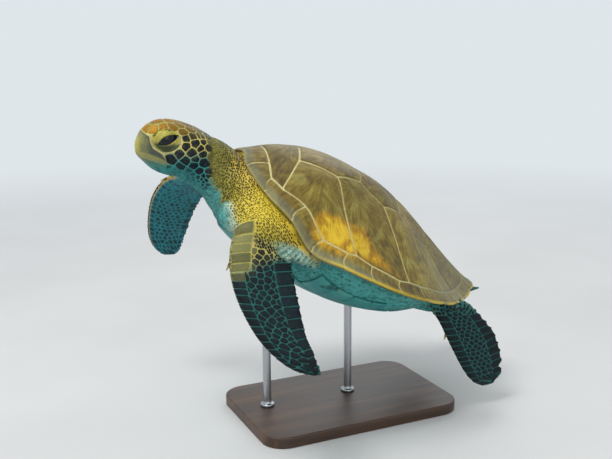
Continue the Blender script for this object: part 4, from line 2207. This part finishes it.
# %% Node tree that lays small plates
def plate_tree():
    tree = bpy.data.node_groups.new("lay_small_plates", "GeometryNodeTree")
    for name, kind in (
        ("Places", "NodeSocketGeometry"), ("Plate", "NodeSocketObject"), ("Thickness", "NodeSocketFloat"),
        ("Unevenness", "NodeSocketFloat"), ("Seed", "NodeSocketInt"), ("Finish", "NodeSocketMaterial"),
    ):
        tree.interface.new_socket(name, in_out="INPUT", socket_type=kind)
    tree.interface.new_socket("Plates", in_out="OUTPUT", socket_type="NodeSocketGeometry")
    nodes, links = tree.nodes, tree.links
    given, result = nodes.new("NodeGroupInput"), nodes.new("NodeGroupOutput")

    def named(name, data_type):
        node = nodes.new("GeometryNodeInputNamedAttribute")
        node.data_type = data_type
        node.inputs["Name"].default_value = name
        return node.outputs["Attribute"]

    turn = nodes.new("FunctionNodeAxesToRotation")
    turn.primary_axis, turn.secondary_axis = "Z", "X"
    links.new(named("facing", "FLOAT_VECTOR"), turn.inputs["Primary Axis"])
    links.new(named("lie", "FLOAT_VECTOR"), turn.inputs["Secondary Axis"])
    least = nodes.new("ShaderNodeMath")
    least.operation = "SUBTRACT"
    least.inputs[0].default_value = 1.0
    links.new(given.outputs["Unevenness"], least.inputs[1])
    chance = nodes.new("FunctionNodeRandomValue")
    links.new(least.outputs[0], chance.inputs[2])
    chance.inputs[3].default_value = 1.0
    links.new(given.outputs["Seed"], chance.inputs["Seed"])
    size = nodes.new("ShaderNodeCombineXYZ")
    for socket, number in enumerate(("length", "width")):
        scaled = nodes.new("ShaderNodeMath")
        scaled.operation = "MULTIPLY"
        links.new(named(number, "FLOAT"), scaled.inputs[0])
        links.new(chance.outputs[1], scaled.inputs[1])
        links.new(scaled.outputs[0], size.inputs[socket])
    links.new(given.outputs["Thickness"], size.inputs[2])
    plate = nodes.new("GeometryNodeObjectInfo")
    links.new(given.outputs["Plate"], plate.inputs["Object"])
    laid = nodes.new("GeometryNodeInstanceOnPoints")
    links.new(given.outputs["Places"], laid.inputs["Points"])
    links.new(plate.outputs["Geometry"], laid.inputs["Instance"])
    links.new(turn.outputs["Rotation"], laid.inputs["Rotation"])
    links.new(size.outputs[0], laid.inputs["Scale"])
    real = nodes.new("GeometryNodeRealizeInstances")
    links.new(laid.outputs[0], real.inputs[0])
    finish = nodes.new("GeometryNodeSetMaterial")
    links.new(real.outputs[0], finish.inputs[0])
    links.new(given.outputs["Finish"], finish.inputs["Material"])
    links.new(finish.outputs[0], result.inputs[0])
    return tree


small_plate_tree = plate_tree()
print("nodes in the tree:", len(small_plate_tree.nodes))

# %% One small plate, and laying many
PLATE_SIDES = 8
PLATE_LEVELS = [(1.0, -0.8), (0.9, 0.45), (0.7, 0.86)]  # share of the radius, share of the thickness


def small_plate():
    """A rounded plate of radius 1: points and faces, with reach and spread for each point."""
    around = circle(PLATE_SIDES) + np.pi / PLATE_SIDES
    rim = np.column_stack([rounded(np.cos(around), 3), rounded(np.sin(around), 3)])
    points = [np.column_stack([rim * share, np.full(PLATE_SIDES, rise)]) for share, rise in PLATE_LEVELS]
    points = np.vstack([*points, [[0, 0, 1.0], [0, 0, PLATE_LEVELS[0][1]]]])
    reach = np.append(np.repeat([1 - share for share, _ in PLATE_LEVELS], PLATE_SIDES), [1, BURIED])
    faces, last = [], (len(PLATE_LEVELS) - 1) * PLATE_SIDES
    for i in range(PLATE_SIDES):
        k = (i + 1) % PLATE_SIDES
        for ring in range(0, last, PLATE_SIDES):
            faces.append((ring + i, ring + k, ring + PLATE_SIDES + k, ring + PLATE_SIDES + i))
        faces.append((last + i, last + k, last + PLATE_SIDES))
        faces.append((k, i, last + PLATE_SIDES + 1))
    spread = points[:, :2].copy()
    spread[-1] = 1
    return points, faces, reach, spread


def laid_plates(places, facing, lie, length, width, thickness, unevenness, seed, finish):
    """Lays a small plate at every place with the node tree, and gives back plain points and faces."""
    points, faces, _, _ = small_plate()
    model = mesh_object("small_plate", points, faces)
    ground = mesh_object("places", places, [], {"length": length, "width": width})
    for name, vectors in (("facing", facing), ("lie", lie)):
        layer = ground.data.attributes.new(name, "FLOAT_VECTOR", "POINT")
        layer.data.foreach_set("vector", np.asarray(vectors, np.float32).ravel())
    modifier = ground.modifiers.new("lay", "NODES")
    modifier.node_group = small_plate_tree
    inputs = {item.name: item.identifier for item in small_plate_tree.interface.items_tree}
    for name, value in (
        ("Plate", model), ("Thickness", thickness), ("Unevenness", unevenness),
        ("Seed", seed), ("Finish", finish),
    ):
        modifier[inputs[name]] = value
    result = evaluated(ground)
    bpy.data.objects.remove(model)
    return result


# %% Where the fine scales lie
FINE_HEIGHT, FINE_LENGTH = 3.6, 4.8
RUMP_HEIGHT, RUMP_LENGTH = 6.0, 8.0
REAR_FROM = 60  # the scales are larger behind this place along the body
SHOULDER_FROM = 92  # how far out from the midline a shoulder's piece begins
DRAWN = 1.08  # how much larger a scale is than its share of the ground


def row_field(points):
    """Rows of fine scales lie where this number is a whole count of row heights."""
    beside = smooth(np.abs(points[:, 1]), 50, 95)
    return from_rim(points) * beside + (points[:, 0] - 248) * (1 - beside)


def field_slope(points):
    step = 1.0
    moves = np.eye(3) * step
    return np.column_stack([(row_field(points + m) - row_field(points - m)) / (2 * step) for m in moves])


def fine_places(taken_tree, taken_surface, shell_surface):
    """Places, facing, lie, length and width of the fine scales."""
    rng = np.random.default_rng(23)
    part, t, _ = located(skin_points).T
    limit = np.where(part < FIRST_LIMB + 2, 4.4, 3.2)
    tail_end = (part == TAIL_PART) & (t > 3)
    bare = (to_head(skin_points)[:, 0] < -46) & ((part < FIRST_LIMB) | (t < limit)) & ~hidden(skin_points)
    bare &= ~tail_end
    loose, near = sprinkled(bare, 1.3, rng)
    rear = loose[:, 0] < REAR_FROM
    facing = calm_normals[near]
    under = smooth(0.34 * facing[:, 0] - facing[:, 2], 0.1, 0.42)
    shoulder = hump(np.linalg.norm(folded(loose) - GOLD_SHOULDER, axis=1), 0, 70)
    height = np.where(rear, RUMP_HEIGHT, FINE_HEIGHT + 0.6 * under)
    length = np.where(rear, RUMP_LENGTH, FINE_LENGTH + 1.2 * shoulder + 0.6 * under)
    rows = row_field(loose) / height
    valley = (loose[:, 0] > 250) & (np.abs(np.abs(loose[:, 1]) - 94) < 30)
    in_row = (np.abs(rows - np.round(rows)) < 0.2) | valley
    clear = np.array([taken_tree.find(p)[2] > 3.0 for p in loose])
    chosen = np.flatnonzero(in_row & clear)
    chosen = chosen[[
        taken_surface.ray_cast(Vector(loose[i]), Vector(facing[i]), 4)[0] is None
        and shell_surface.ray_cast(Vector(loose[i]), Vector(facing[i]), 9)[0] is None
        for i in chosen
    ]]
    picked = chosen[spaced_in_rows(loose[chosen], np.round(rows[chosen]), length[chosen], height[chosen])]
    slope = field_slope(loose[picked])
    lie = unit_rows(np.cross(facing[picked], slope))
    return loose[picked], facing[picked], lie, length[picked] * DRAWN, height[picked] * DRAWN


IN_ROW = 0.76  # the least distance between neighbours in a row, in lengths


def spaced_in_rows(points, rows, length, height):
    """Picks points that are a length apart in their own row and most of a height from other rows."""
    size = float(length.max()) * 1.01
    grid, kept = {}, []
    for number, (point, row, long, high) in enumerate(zip(points.tolist(), rows, length, height)):
        x, y, z = (int(value // size) for value in point)
        fits = True
        for i, j, k in NEIGHBOURS:
            for other in grid.get((x + i, y + j, z + k), ()):
                gap = IN_ROW * long if other[3] == row else 0.8 * high
                if squared_distance(point, other) < gap**2:
                    fits = False
                    break
            if not fits:
                break
        if fits:
            grid.setdefault((x, y, z), []).append((*point, row))
            kept.append(number)
    return np.array(kept, int)


def brow_granules():
    """Small beads in two arcs over each upper lid, in the body's frame, with their facing and lie."""
    beads = []
    for share, count, first in ((0.9, 15, 0.0), (0.8, 14, 0.5)):
        beads.append(on_orbit(np.radians(68 + (np.arange(count) + first) * 6.2), share))
    both = np.vstack(beads)
    outward = both - ORBIT_AT
    spots = nearest_skin(from_head(np.vstack([both, mirrored(both)])))
    facing = calm_normals[nearest_points(spots)]
    lie, _ = touching_plane(facing, np.vstack([outward, mirrored(outward)]) @ HEAD_TURN.T)
    return spots, facing, lie


def fine_roots(bases):
    """Places on the flat map, round the body's long axis."""
    angle = np.arctan2(bases[:, 1], bases[:, 2] - 10) / (2 * np.pi) + 0.5
    return np.column_stack([(bases[:, 0] + 400) / 760, angle])


def fine_piece(name, finish, places, facing, lie, length, width, thickness=0.9, unevenness=0.14):
    points, faces = laid_plates(places, facing, lie, length / 2, width / 2, thickness, unevenness, 5, finish)
    _, _, reach, spread = small_plate()
    owner = np.repeat(np.arange(len(places)), len(reach))
    count = len(places)
    coat_piece(name, finish, points, faces, owner, np.tile(reach, count), np.tile(spread, (count, 1)),
               fine_roots(places), places)
    print(name, count, "plates,", len(faces), "faces")


# %% [markdown]
# ## The stand
# The turtle hangs over a plain base on two steel rods. The base is turned from the same numbers as the
# solid: a slab with round corners and a small soft edge. The rods get a turned collar at the foot.

# %% Base and rods
BASE_LENGTH, BASE_WIDTH, BASE_THICKNESS, BASE_CORNER, BASE_EDGE = 420, 280, 22, 45, 3.0
ROD_RADIUS = 8.0
COLLAR_RADIUS, COLLAR_HEIGHT = 14.0, 6.0


def corner_loop(inset, steps=14):
    """The base's outline, a little inside its edge."""
    points = []
    half_x, half_y = BASE_WIDTH / 2 - BASE_CORNER, BASE_LENGTH / 2 - BASE_CORNER
    for k, (sx, sy) in enumerate([(1, 1), (-1, 1), (-1, -1), (1, -1)]):
        for a in np.linspace(k * np.pi / 2, (k + 1) * np.pi / 2, steps):
            radius = BASE_CORNER - inset
            points.append([sx * half_x + radius * np.cos(a), sy * half_y + radius * np.sin(a)])
    return np.array(points)


def base_shape():
    rings = []
    for a in np.linspace(0, np.pi / 2, 6):
        rings.append((BASE_EDGE * (1 - np.sin(a)), BASE_EDGE * (1 - np.cos(a))))
    profile = [(z, inset) for inset, z in rings]
    profile += [(BASE_THICKNESS - z, inset) for inset, z in rings[::-1]]
    loops = []
    for z, inset in profile:
        loop = corner_loop(inset)
        loops.append(np.column_stack([loop, np.full(len(loop), z)]))
    return loft(loops)


def turned(profile, x, y, sides=48):
    """A turned piece round a standing axis: rings of radius and height."""
    around = circle(sides)
    return loft([
        np.column_stack([x + r * np.cos(around), y + r * np.sin(around), np.full(sides, z)])
        for r, z in profile
    ])


def rod_shape(node):
    low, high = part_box(node)
    x, y = (low[0] + high[0]) / 2 / MM, (low[1] + high[1]) / 2 / MM
    foot, top = BASE_THICKNESS, high[2] / MM + 1.0
    collar = [
        (COLLAR_RADIUS - 1.2, foot), (COLLAR_RADIUS, foot + 1), (COLLAR_RADIUS, foot + COLLAR_HEIGHT - 1.5),
        (COLLAR_RADIUS - 1.5, foot + COLLAR_HEIGHT), (ROD_RADIUS + 0.6, foot + COLLAR_HEIGHT),
        (ROD_RADIUS, foot + COLLAR_HEIGHT + 0.6),
    ]
    return turned(collar + [(ROD_RADIUS, z) for z in np.linspace(foot + 12, top, 12)], x, y)


# %% [markdown]
# ## Finishes of the soft parts
# Skin and scales take their colours from the points, so the markings are the same on both. The shader
# adds what is too fine for points: the edge between a scale's dark middle and its pale margin, uneven
# shades, pores and tiny folds.

# %% Skin and scales
def varied(finish, colour, amount, dark="#8f8f8f", pale="#ffffff"):
    """A colour made unevenly darker by an amount from 0 to 1."""
    return finish.mix(1.0, colour, finish.ramp(amount, (0.2, dark), (0.8, pale)), "MULTIPLY")


def skin_finish():
    finish = Finish("turtle_skin", 0.5, Specular_IOR_Level=0.35)
    blotches = finish.noise(55, 4, 0.6)
    pores = finish.cells(780)
    colour = varied(finish, finish.tint("skin_tint"), blotches * 0.7 + pores * 0.5, "#9c9c98")
    folds = finish.noise(320, 3, 0.6, distortion=0.6)
    lids = (finish.own("lid") * 5.2).math("SINE", finish.own("lid") * 5.2)
    wet = finish.own("wet")
    relief = (pores * 0.5 + folds + lids * finish.own("wrinkled") * 0.6) * (1 - wet)
    height = finish.bump(relief, 0.0006, 0.7)
    colour = finish.mix(wet, colour, "#0a1216")
    return finish.set(Base_Color=colour, Roughness=0.52 - blotches * 0.12 - wet * 0.25, Normal=height)


def scale_finish():
    finish = Finish("scales", 0.4, Specular_IOR_Level=0.2)
    wobble = finish.noise(420, 3, 0.6) - 0.5
    middle = (finish.own("reach") + finish.own("cover") + wobble * 0.16).step(0.97, 1.09)
    faded = finish.noise(190, 4, 0.65).step(0.4, 0.8) * 0.16
    spot = finish.mix(faded, finish.tint("spot_tint"), finish.tint("skin_tint"))
    colour = finish.mix(middle, finish.tint("skin_tint"), spot)
    shade = finish.own("shade") * 0.6 + finish.noise(900, 3, 0.6) * 0.5
    colour = varied(finish, colour, shade, "#a8a8a4")
    grain = finish.noise(1500, 3, 0.6) + finish.noise(300, 2) * 0.8
    return finish.set(
        Base_Color=colour, Roughness=0.34 + finish.noise(160) * 0.2, Normal=finish.bump(grain, 0.0003, 0.6),
    )


# %% [markdown]
# ## Finishes of horn and shell
# Each plate of the shell is streaked from the corner where it started to grow. The streaks follow the
# plate's own angle and distance numbers, so they fan out on every plate and never run across a seam.

# %% Shell, seams and belly
def shell_finish():
    finish = Finish("shell_horn", 0.4, Specular_IOR_Level=0.3, Coat_Weight=0.04, Coat_Roughness=0.25)
    ray, reach, tone = finish.own("ray"), finish.own("reach"), finish.own("tone")
    cosine, sine = ray.math("COSINE", ray), ray.math("SINE", ray)
    fan_place = finish.joined(cosine * 9, sine * 9, reach * 0.03 + tone * 7)
    streak = finish.noise(1.0, 6, 0.62, fan_place, 0.9)
    fine_place = finish.joined(cosine * 34, sine * 34, reach * 0.06 + tone * 5)
    hair = finish.noise(1.0, 4, 0.6, fine_place, 0.4)
    clouds = finish.noise(24, 5, 0.62, distortion=1.2)
    patches = finish.noise(11, 3, 0.55, distortion=0.8)
    colour = finish.ramp(
        streak * 0.4 + hair * 0.22 + clouds * 0.38,
        (0.34, "#42350f"), (0.43, "#66551c"), (0.51, "#857228"), (0.59, "#9f8a33"), (0.69, "#bba544"),
    )
    colour = finish.mix(patches.step(0.5, 0.68) * 0.5, colour, "#7a5a22")
    colour = finish.mix((clouds + hair * 0.5 - 0.25).step(0.52, 0.68) * 0.4, colour, "#8e9660")
    gold = finish.own("gold")
    warm = gold * (clouds * 2.0 + hair * 1.2 - 0.62)
    colour = finish.mix(warm.step(0.22, 0.75) * 0.85, colour, "#d39d14")
    colour = finish.mix(warm.step(0.62, 1.05) * 0.85, colour, "#efcb32")
    colour = finish.mix(finish.own("grey") * (0.35 + hair * 0.6), colour, "#777f6e")
    edge = finish.own("edge")
    colour = finish.mix((1 - edge.step(0.3, 2.6)) * 0.4, colour, "#a4985c")
    colour = finish.mix(finish.own("border") * (0.55 + hair * 0.6), colour, "#e3c648")
    colour = varied(finish, colour, tone * 0.5 + clouds * 0.6, "#bab6ac")
    rings = (edge * 1.25 + streak * 3.0).math("SINE", edge * 1.25 + streak * 3.0)
    scratches = finish.noise(700, 3, 0.6)
    height = finish.bump(rings * 0.2 + hair * 0.5 + scratches * 0.35 + streak * 0.5, 0.0006, 0.7)
    return finish.set(Base_Color=colour, Roughness=0.36 + clouds * 0.16 + scratches * 0.1, Normal=height)


def bed_finish():
    finish = Finish("seam_horn", 0.55, Specular_IOR_Level=0.3)
    grain = finish.noise(240, 4, 0.6)
    colour = finish.mix(finish.own("rear"), "#e0d493", "#93a083")
    colour = finish.mix(finish.own("faint"), colour, "#8a7d44")
    colour = varied(finish, colour, grain, "#b9b4a0")
    return finish.set(Base_Color=colour, Normal=finish.bump(grain, 0.0004, 0.5))


def plastron_finish():
    finish = Finish("belly_horn", 0.45, Specular_IOR_Level=0.3)
    cloud = finish.noise(14, 4, 0.55, distortion=0.4)
    fine = finish.noise(260, 3, 0.6)
    colour = finish.ramp(cloud, (0.32, "#2c8387"), (0.5, "#429897"), (0.68, "#62ada0"))
    smudge = (finish.own("smudge") + (fine - 0.5) * 0.9).step(0.35, 0.8)
    colour = finish.mix(smudge * 0.75, colour, "#1c4743")
    colour = finish.mix((1 - finish.own("edge").step(0.2, 1.8)) * 0.25, colour, "#2c7274")
    height = finish.bump(fine * 0.5 + finish.noise(60, 3), 0.0005, 0.6)
    colour = varied(finish, colour, fine, "#d6d6d0")
    return finish.set(Base_Color=colour, Roughness=0.4 + fine * 0.15, Normal=height)


# %% Beak, claws and eyes
def beak_finish():
    finish = Finish("beak_horn", 0.36, Specular_IOR_Level=0.35)
    lines = finish.noise(1.0, 4, 0.6, finish.stretched((150, 520, 150), (0.2, 0, 0)))
    cloud = finish.noise(60, 3, 0.6)
    colour = finish.ramp(lines * 0.5 + cloud * 0.5, (0.35, "#5b5b40"), (0.5, "#777450"), (0.66, "#948d4e"))
    colour = finish.mix(finish.own("rearward") * (0.5 + cloud * 0.7), colour, "#2f4340")
    colour = finish.mix(finish.own("mouth") * (0.3 + cloud * 0.6), colour, "#a9a25a")
    colour = finish.mix(finish.own("front") * (0.2 + lines * 0.9 + cloud * 0.35), colour, "#c2bd48")
    colour = finish.mix(finish.own("low") * 0.8, colour, "#2f8274")
    colour = finish.mix(finish.own("rim") * (0.55 + cloud * 0.5), colour, "#d6c878")
    height = finish.bump(lines + finish.noise(420, 2) * 0.4, 0.0003, 0.6)
    return finish.set(Base_Color=colour, Roughness=0.3 + cloud * 0.2, Normal=height)


def claw_finish():
    finish = Finish("claw_horn", 0.35)
    reach, grain = finish.own("reach"), finish.noise(500, 3)
    colour = finish.ramp(reach * 0.1 + grain * 0.2, (0.1, "#4f4526"), (0.6, "#a58f4e"), (1.0, "#5b4a28"))
    return finish.set(Base_Color=colour, Roughness=0.3 + grain * 0.2, Normal=finish.bump(grain, 0.0002, 0.5))


def eye_finish():
    finish = Finish("wet_eye", 0.08, Specular_IOR_Level=0.1, Coat_Weight=0.5, Coat_Roughness=0.02)
    facing, rays = finish.own("facing"), finish.noise(420, 3, 0.6)
    colour = finish.ramp(
        facing,
        (0.0, "#071018"), (0.84, "#06131f"), (0.88, "#14202a"), (0.945, "#0c1c2a"), (0.955, "#02050a"),
    )
    return finish.set(Base_Color=varied(finish, colour, rays, "#9a9a9a"), Roughness=0.06 + rays * 0.04)


# %% [markdown]
# ## Finishes of the stand
# The base is dark oiled walnut and the rods are brushed steel, as plain as a museum would choose.

# %% Wood and steel
def wood_finish():
    finish = Finish("dark_walnut", 0.42, Coat_Weight=0.15, Coat_Roughness=0.3)
    bend = finish.noise(3.0, 2, 0.5, finish.stretched((1, 0.25, 1)))
    rings = finish.noise(1.0, 3, 0.55, finish.stretched((34, 2.2, 34)), 1.2)
    grain = finish.noise(1.0, 5, 0.7, finish.stretched((420, 14, 420)))
    colour = finish.ramp(
        rings * 0.6 + grain * 0.25 + bend * 0.15,
        (0.3, "#23150c"), (0.48, "#3d2717"), (0.6, "#543823"), (0.75, "#6b4a2e"),
    )
    height = finish.bump(grain + rings * 0.3, 0.00025, 0.6)
    return finish.set(Base_Color=colour, Roughness=0.36 + grain * 0.2, Normal=height)


def steel_finish():
    finish = Finish("brushed_steel", 0.3, Metallic=1.0)
    brush = finish.noise(1.0, 3, 0.6, finish.stretched((240, 240, 5200)))
    colour = finish.ramp(brush, (0.3, "#9a9ca0"), (0.7, "#c2c5c9"))
    height = finish.bump(brush, 0.00006, 0.5)
    return finish.set(Base_Color=colour, Roughness=0.24 + brush * 0.16, Normal=height)


print("finishes can be made:", len(bpy.data.materials), "so far")

# %% [markdown]
# ## Put the turtle together
# Now the shapes become pieces, each with its finish, and each stands for the solids that it covers.

# %% Skin, eyes, beak and claws
def skin_numbers():
    """Lid distance, where lids are wrinkled, and the wet corners of the eyes."""
    place = to_head(skin_points)
    distance, _ = lid_distance(place)
    near = on_head_side(place) & head_region(skin_points)
    share = orbit_share(place)
    wrinkled = near * smooth(distance, 0.4, 1.6) * (1 - smooth(share, 0.85, 1.1))
    corner = np.min([np.linalg.norm(folded(place) - c, axis=1) for c in (REAR_CORNER, FRONT_CORNER)], axis=0)
    in_corner = (1 - smooth(corner, 2.5, 6.5)) * (distance < 1.5)
    wet = near * np.maximum(1 - smooth(distance, -0.6, 0.5), in_corner)
    return {"lid": np.clip(distance, -3, 30), "wrinkled": wrinkled, "wet": wet, "skin_tint": skin_tint}


piece("skin", skin_points, skin_faces, skin_finish(), ["head", "neck", "trunk", "tail", *LIMBS],
      skin_numbers())
eye_look, beak_look, claw_look = eye_finish(), beak_finish(), claw_finish()
SHEATH_EDGE = np.array(UPPER_SHEATH[1:10] + UPPER_SHEATH[8:1:-1])  # there and back, so that it closes
for word, side in (("left", 1), ("right", -1)):
    points, faces, numbers = eyeball(side)
    piece(f"eye_ball_{word}", points, faces, eye_look, [f"eye_{word}"], numbers)
for word, outline, sink, grow in (
    ("upper", UPPER_SHEATH, 6, UPPER_GROW), ("lower", LOWER_SHEATH, -12, LOWER_GROW),
):
    points, faces = sheath(outline, sink, grow)
    place = to_head(points)
    side_view = place[:, [0, 2]]
    at_edge = 1 - smooth(loop_distance(side_view, SHEATH_EDGE), 0.9, 2.6)
    numbers = {
        "front": smooth(place[:, 0], 64, 75) * smooth(place[:, 2], -8, 2),
        "mouth": 1 - smooth(loop_distance(side_view, np.array(UPPER_SHEATH[9:17])), 1.5, 6),
        "rim": at_edge * smooth(place[:, 2], -12, -2),
        "rearward": 1 - smooth(place[:, 0], 48, 66),
        "low": smooth(-place[:, 2], 8, 24),
    }
    piece(f"beak_{word}_sheath", points, faces, beak_look, [f"beak_{word}"], numbers)
for node, (rows, _) in LIMBS.items():
    points, faces, numbers = claw(rows)
    name = node.replace("flipper", "claw")
    piece(f"{name}_horn", points, faces, claw_look, [name], numbers)
print("skin:", len(skin_points), "points", sum(len(f) - 2 for f in skin_faces), "triangles")

# %% Shell and belly
shell_look = shell_finish()
for name, points, faces, numbers in shell_plates:
    piece(f"{name}_plate", points, faces, shell_look, [name], numbers)
points, faces = seam_bed()
faint = (1 - smooth(np.abs(points[:, 1]), 66, 84)) * (1 - smooth(points[:, 0], 130, 165))
bed_numbers = {"rear": smooth(-points[:, 0], 0, 200), "faint": 0.55 * faint}
piece("seam_bed", points, faces, bed_finish(), numbers=bed_numbers)
SMUDGES = [(58, 168, 10), (68, 160, 6), (47, 170, 6), (52, 150, 4)]
smudge = np.max([
    hump(np.hypot(plastron_points[:, 0] - x, np.abs(plastron_points[:, 1]) - y), 0, reach)
    for x, y, reach in SMUDGES
], axis=0)
piece("plastron_shield", plastron_points, plastron_faces, plastron_finish(), ["plastron"],
      {"edge": plastron_edges, "smudge": smudge})

print("shell plates made:", len(shell_plates))

# %% The coat of scales
scale_look = scale_finish()
limb_shapes = []
for number, name in enumerate(LIMBS):
    made = limb_scales(name, number + 3)
    coat_piece(f"scales_{name}", scale_look, *made)
    limb_shapes.append((made[0], made[1]))
    print(f"scales_{name}", len(made[5]), "scales,", len(made[1]), "faces")
coat_piece("scales_head", scale_look, *head_scales())
limb_points_all, limb_faces_all = join_shapes(limb_shapes)
taken_tree = tree_of(limb_points_all)
shell_shapes = [(points, faces) for _, points, faces, _ in shell_plates]
shell_surface = surface_of(*join_shapes([*shell_shapes, (plastron_points, plastron_faces)]))
fine = fine_places(taken_tree, surface_of(limb_points_all, limb_faces_all), shell_surface)
in_front, fine_y = fine[0][:, 0] > REAR_FROM, fine[0][:, 1]
groups = {
    "scales_neck": in_front & (np.abs(fine_y) < SHOULDER_FROM),
    "scales_shoulder_left": in_front & (fine_y >= SHOULDER_FROM),
    "scales_shoulder_right": in_front & (fine_y <= -SHOULDER_FROM),
    "scales_rump": ~in_front,
}
for name, chosen in groups.items():
    fine_piece(name, scale_look, *[values[chosen] for values in fine])
spots, facing, lie = brow_granules()
BEAD_LENGTH, BEAD_WIDTH, BEAD_THICKNESS, BEAD_UNEVENNESS = 3.4, 1.9, 0.55, 0.3
bead_sizes = np.full(len(spots), BEAD_LENGTH), np.full(len(spots), BEAD_WIDTH)
fine_piece("scales_brow", scale_look, spots, facing, lie, *bead_sizes, BEAD_THICKNESS, BEAD_UNEVENNESS)


# %% The stand
def in_metres(points):
    """The stand's shapes are in its own frame already."""
    return points * MM


points, faces = oriented(*base_shape())
piece("stand_base_turned", points, faces, wood_finish(), ["stand_base"], placed=in_metres)
steel = steel_finish()
for word in ("front", "rear"):
    node = f"stand_rod_{word}"
    points, faces = oriented(*rod_shape(node))
    piece(f"{node}_turned", points, faces, steel, [node], placed=in_metres)

print("faces of a rod:", len(faces))

# %% [markdown]
# ## Floor, backdrop and lamps
# The floor is a pale round. Far from the turtle it fades, for the camera only, into the same pale colour
# as the backdrop, so that no horizon shows, while its middle keeps the soft shadow.

# %% Studio
BACKDROP = "#dfe6ea"
FLOOR_REACH = 30.0
SEEN_BY = ["Is Camera Ray", "Is Glossy Ray", "Is Transmission Ray"]


def floor_finish():
    finish = Finish("studio_floor", 0.9)
    finish.set(Base_Color=varied(finish, "#dcdcda", finish.noise(2.0, 2), "#f2f2f2"))
    tree = finish.tree
    place = finish.place()
    away_from = finish.node("ShaderNodeVectorMath", {"operation": "LENGTH"}, {0: place}, out="Value")
    rays = tree.nodes.new("ShaderNodeLightPath")
    first, *others = [Wire(finish, rays.outputs[name]) for name in SEEN_BY]
    seen = sum(others, first)
    glow = finish.node("ShaderNodeEmission", None, {"Color": BACKDROP})
    mixed = tree.nodes.new("ShaderNodeMixShader")
    finish.plug(mixed.inputs[0], away_from.step(0.9, 4.5) * seen.step(0.0, 1.0))
    tree.links.new(finish.shader.outputs[0], mixed.inputs[1])
    tree.links.new(glow.socket, mixed.inputs[2])
    tree.links.new(mixed.outputs[0], tree.nodes["Material Output"].inputs["Surface"])
    return finish.material


around = circle(96)
floor_points = np.column_stack([FLOOR_REACH * np.cos(around), FLOOR_REACH * np.sin(around), np.zeros(96)])
floor = mesh_object("floor", floor_points, [tuple(range(96))])
floor.data.materials.append(floor_finish())
floor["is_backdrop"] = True

world = bpy.data.worlds.new("studio")
bpy.context.scene.world = world
world.use_nodes = True
sky = world.node_tree.nodes["Background"]
sky.inputs["Color"].default_value = (0.86, 0.9, 0.95, 1)
sky.inputs["Strength"].default_value = 0.62
seen_sky = world.node_tree.nodes.new("ShaderNodeBackground")
seen_sky.inputs["Color"].default_value = linear(BACKDROP)
path = world.node_tree.nodes.new("ShaderNodeLightPath")
either = world.node_tree.nodes.new("ShaderNodeMixShader")
seen = path.outputs[SEEN_BY[0]]
for name in SEEN_BY[1:]:
    both = world.node_tree.nodes.new("ShaderNodeMath")
    both.operation = "MAXIMUM"
    world.node_tree.links.new(seen, both.inputs[0])
    world.node_tree.links.new(path.outputs[name], both.inputs[1])
    seen = both.outputs[0]
world.node_tree.links.new(seen, either.inputs[0])
world.node_tree.links.new(sky.outputs[0], either.inputs[1])
world.node_tree.links.new(seen_sky.outputs[0], either.inputs[2])
world.node_tree.links.new(either.outputs[0], world.node_tree.nodes["World Output"].inputs["Surface"])


def lamp(name, at, size, power):
    data = bpy.data.lights.new(name, "AREA")
    data.size = size
    data.energy = power
    made = bpy.data.objects.new(name, data)
    made.location = at
    made.rotation_euler = (Vector(at) - target).to_track_quat("Z", "Y").to_euler()
    bpy.context.scene.collection.objects.link(made)


lamp("key", (0.5, -1.6, 3.2), 1.3, 62)
lamp("fill", (2.8, -0.4, 1.2), 2.0, 14)
lamp("back", (-2.0, 1.6, 2.4), 2.0, 22)

view_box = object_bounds()
[[list(corner) for corner in box] for box in (cad_box, view_box)]
print("visual box", view_box)
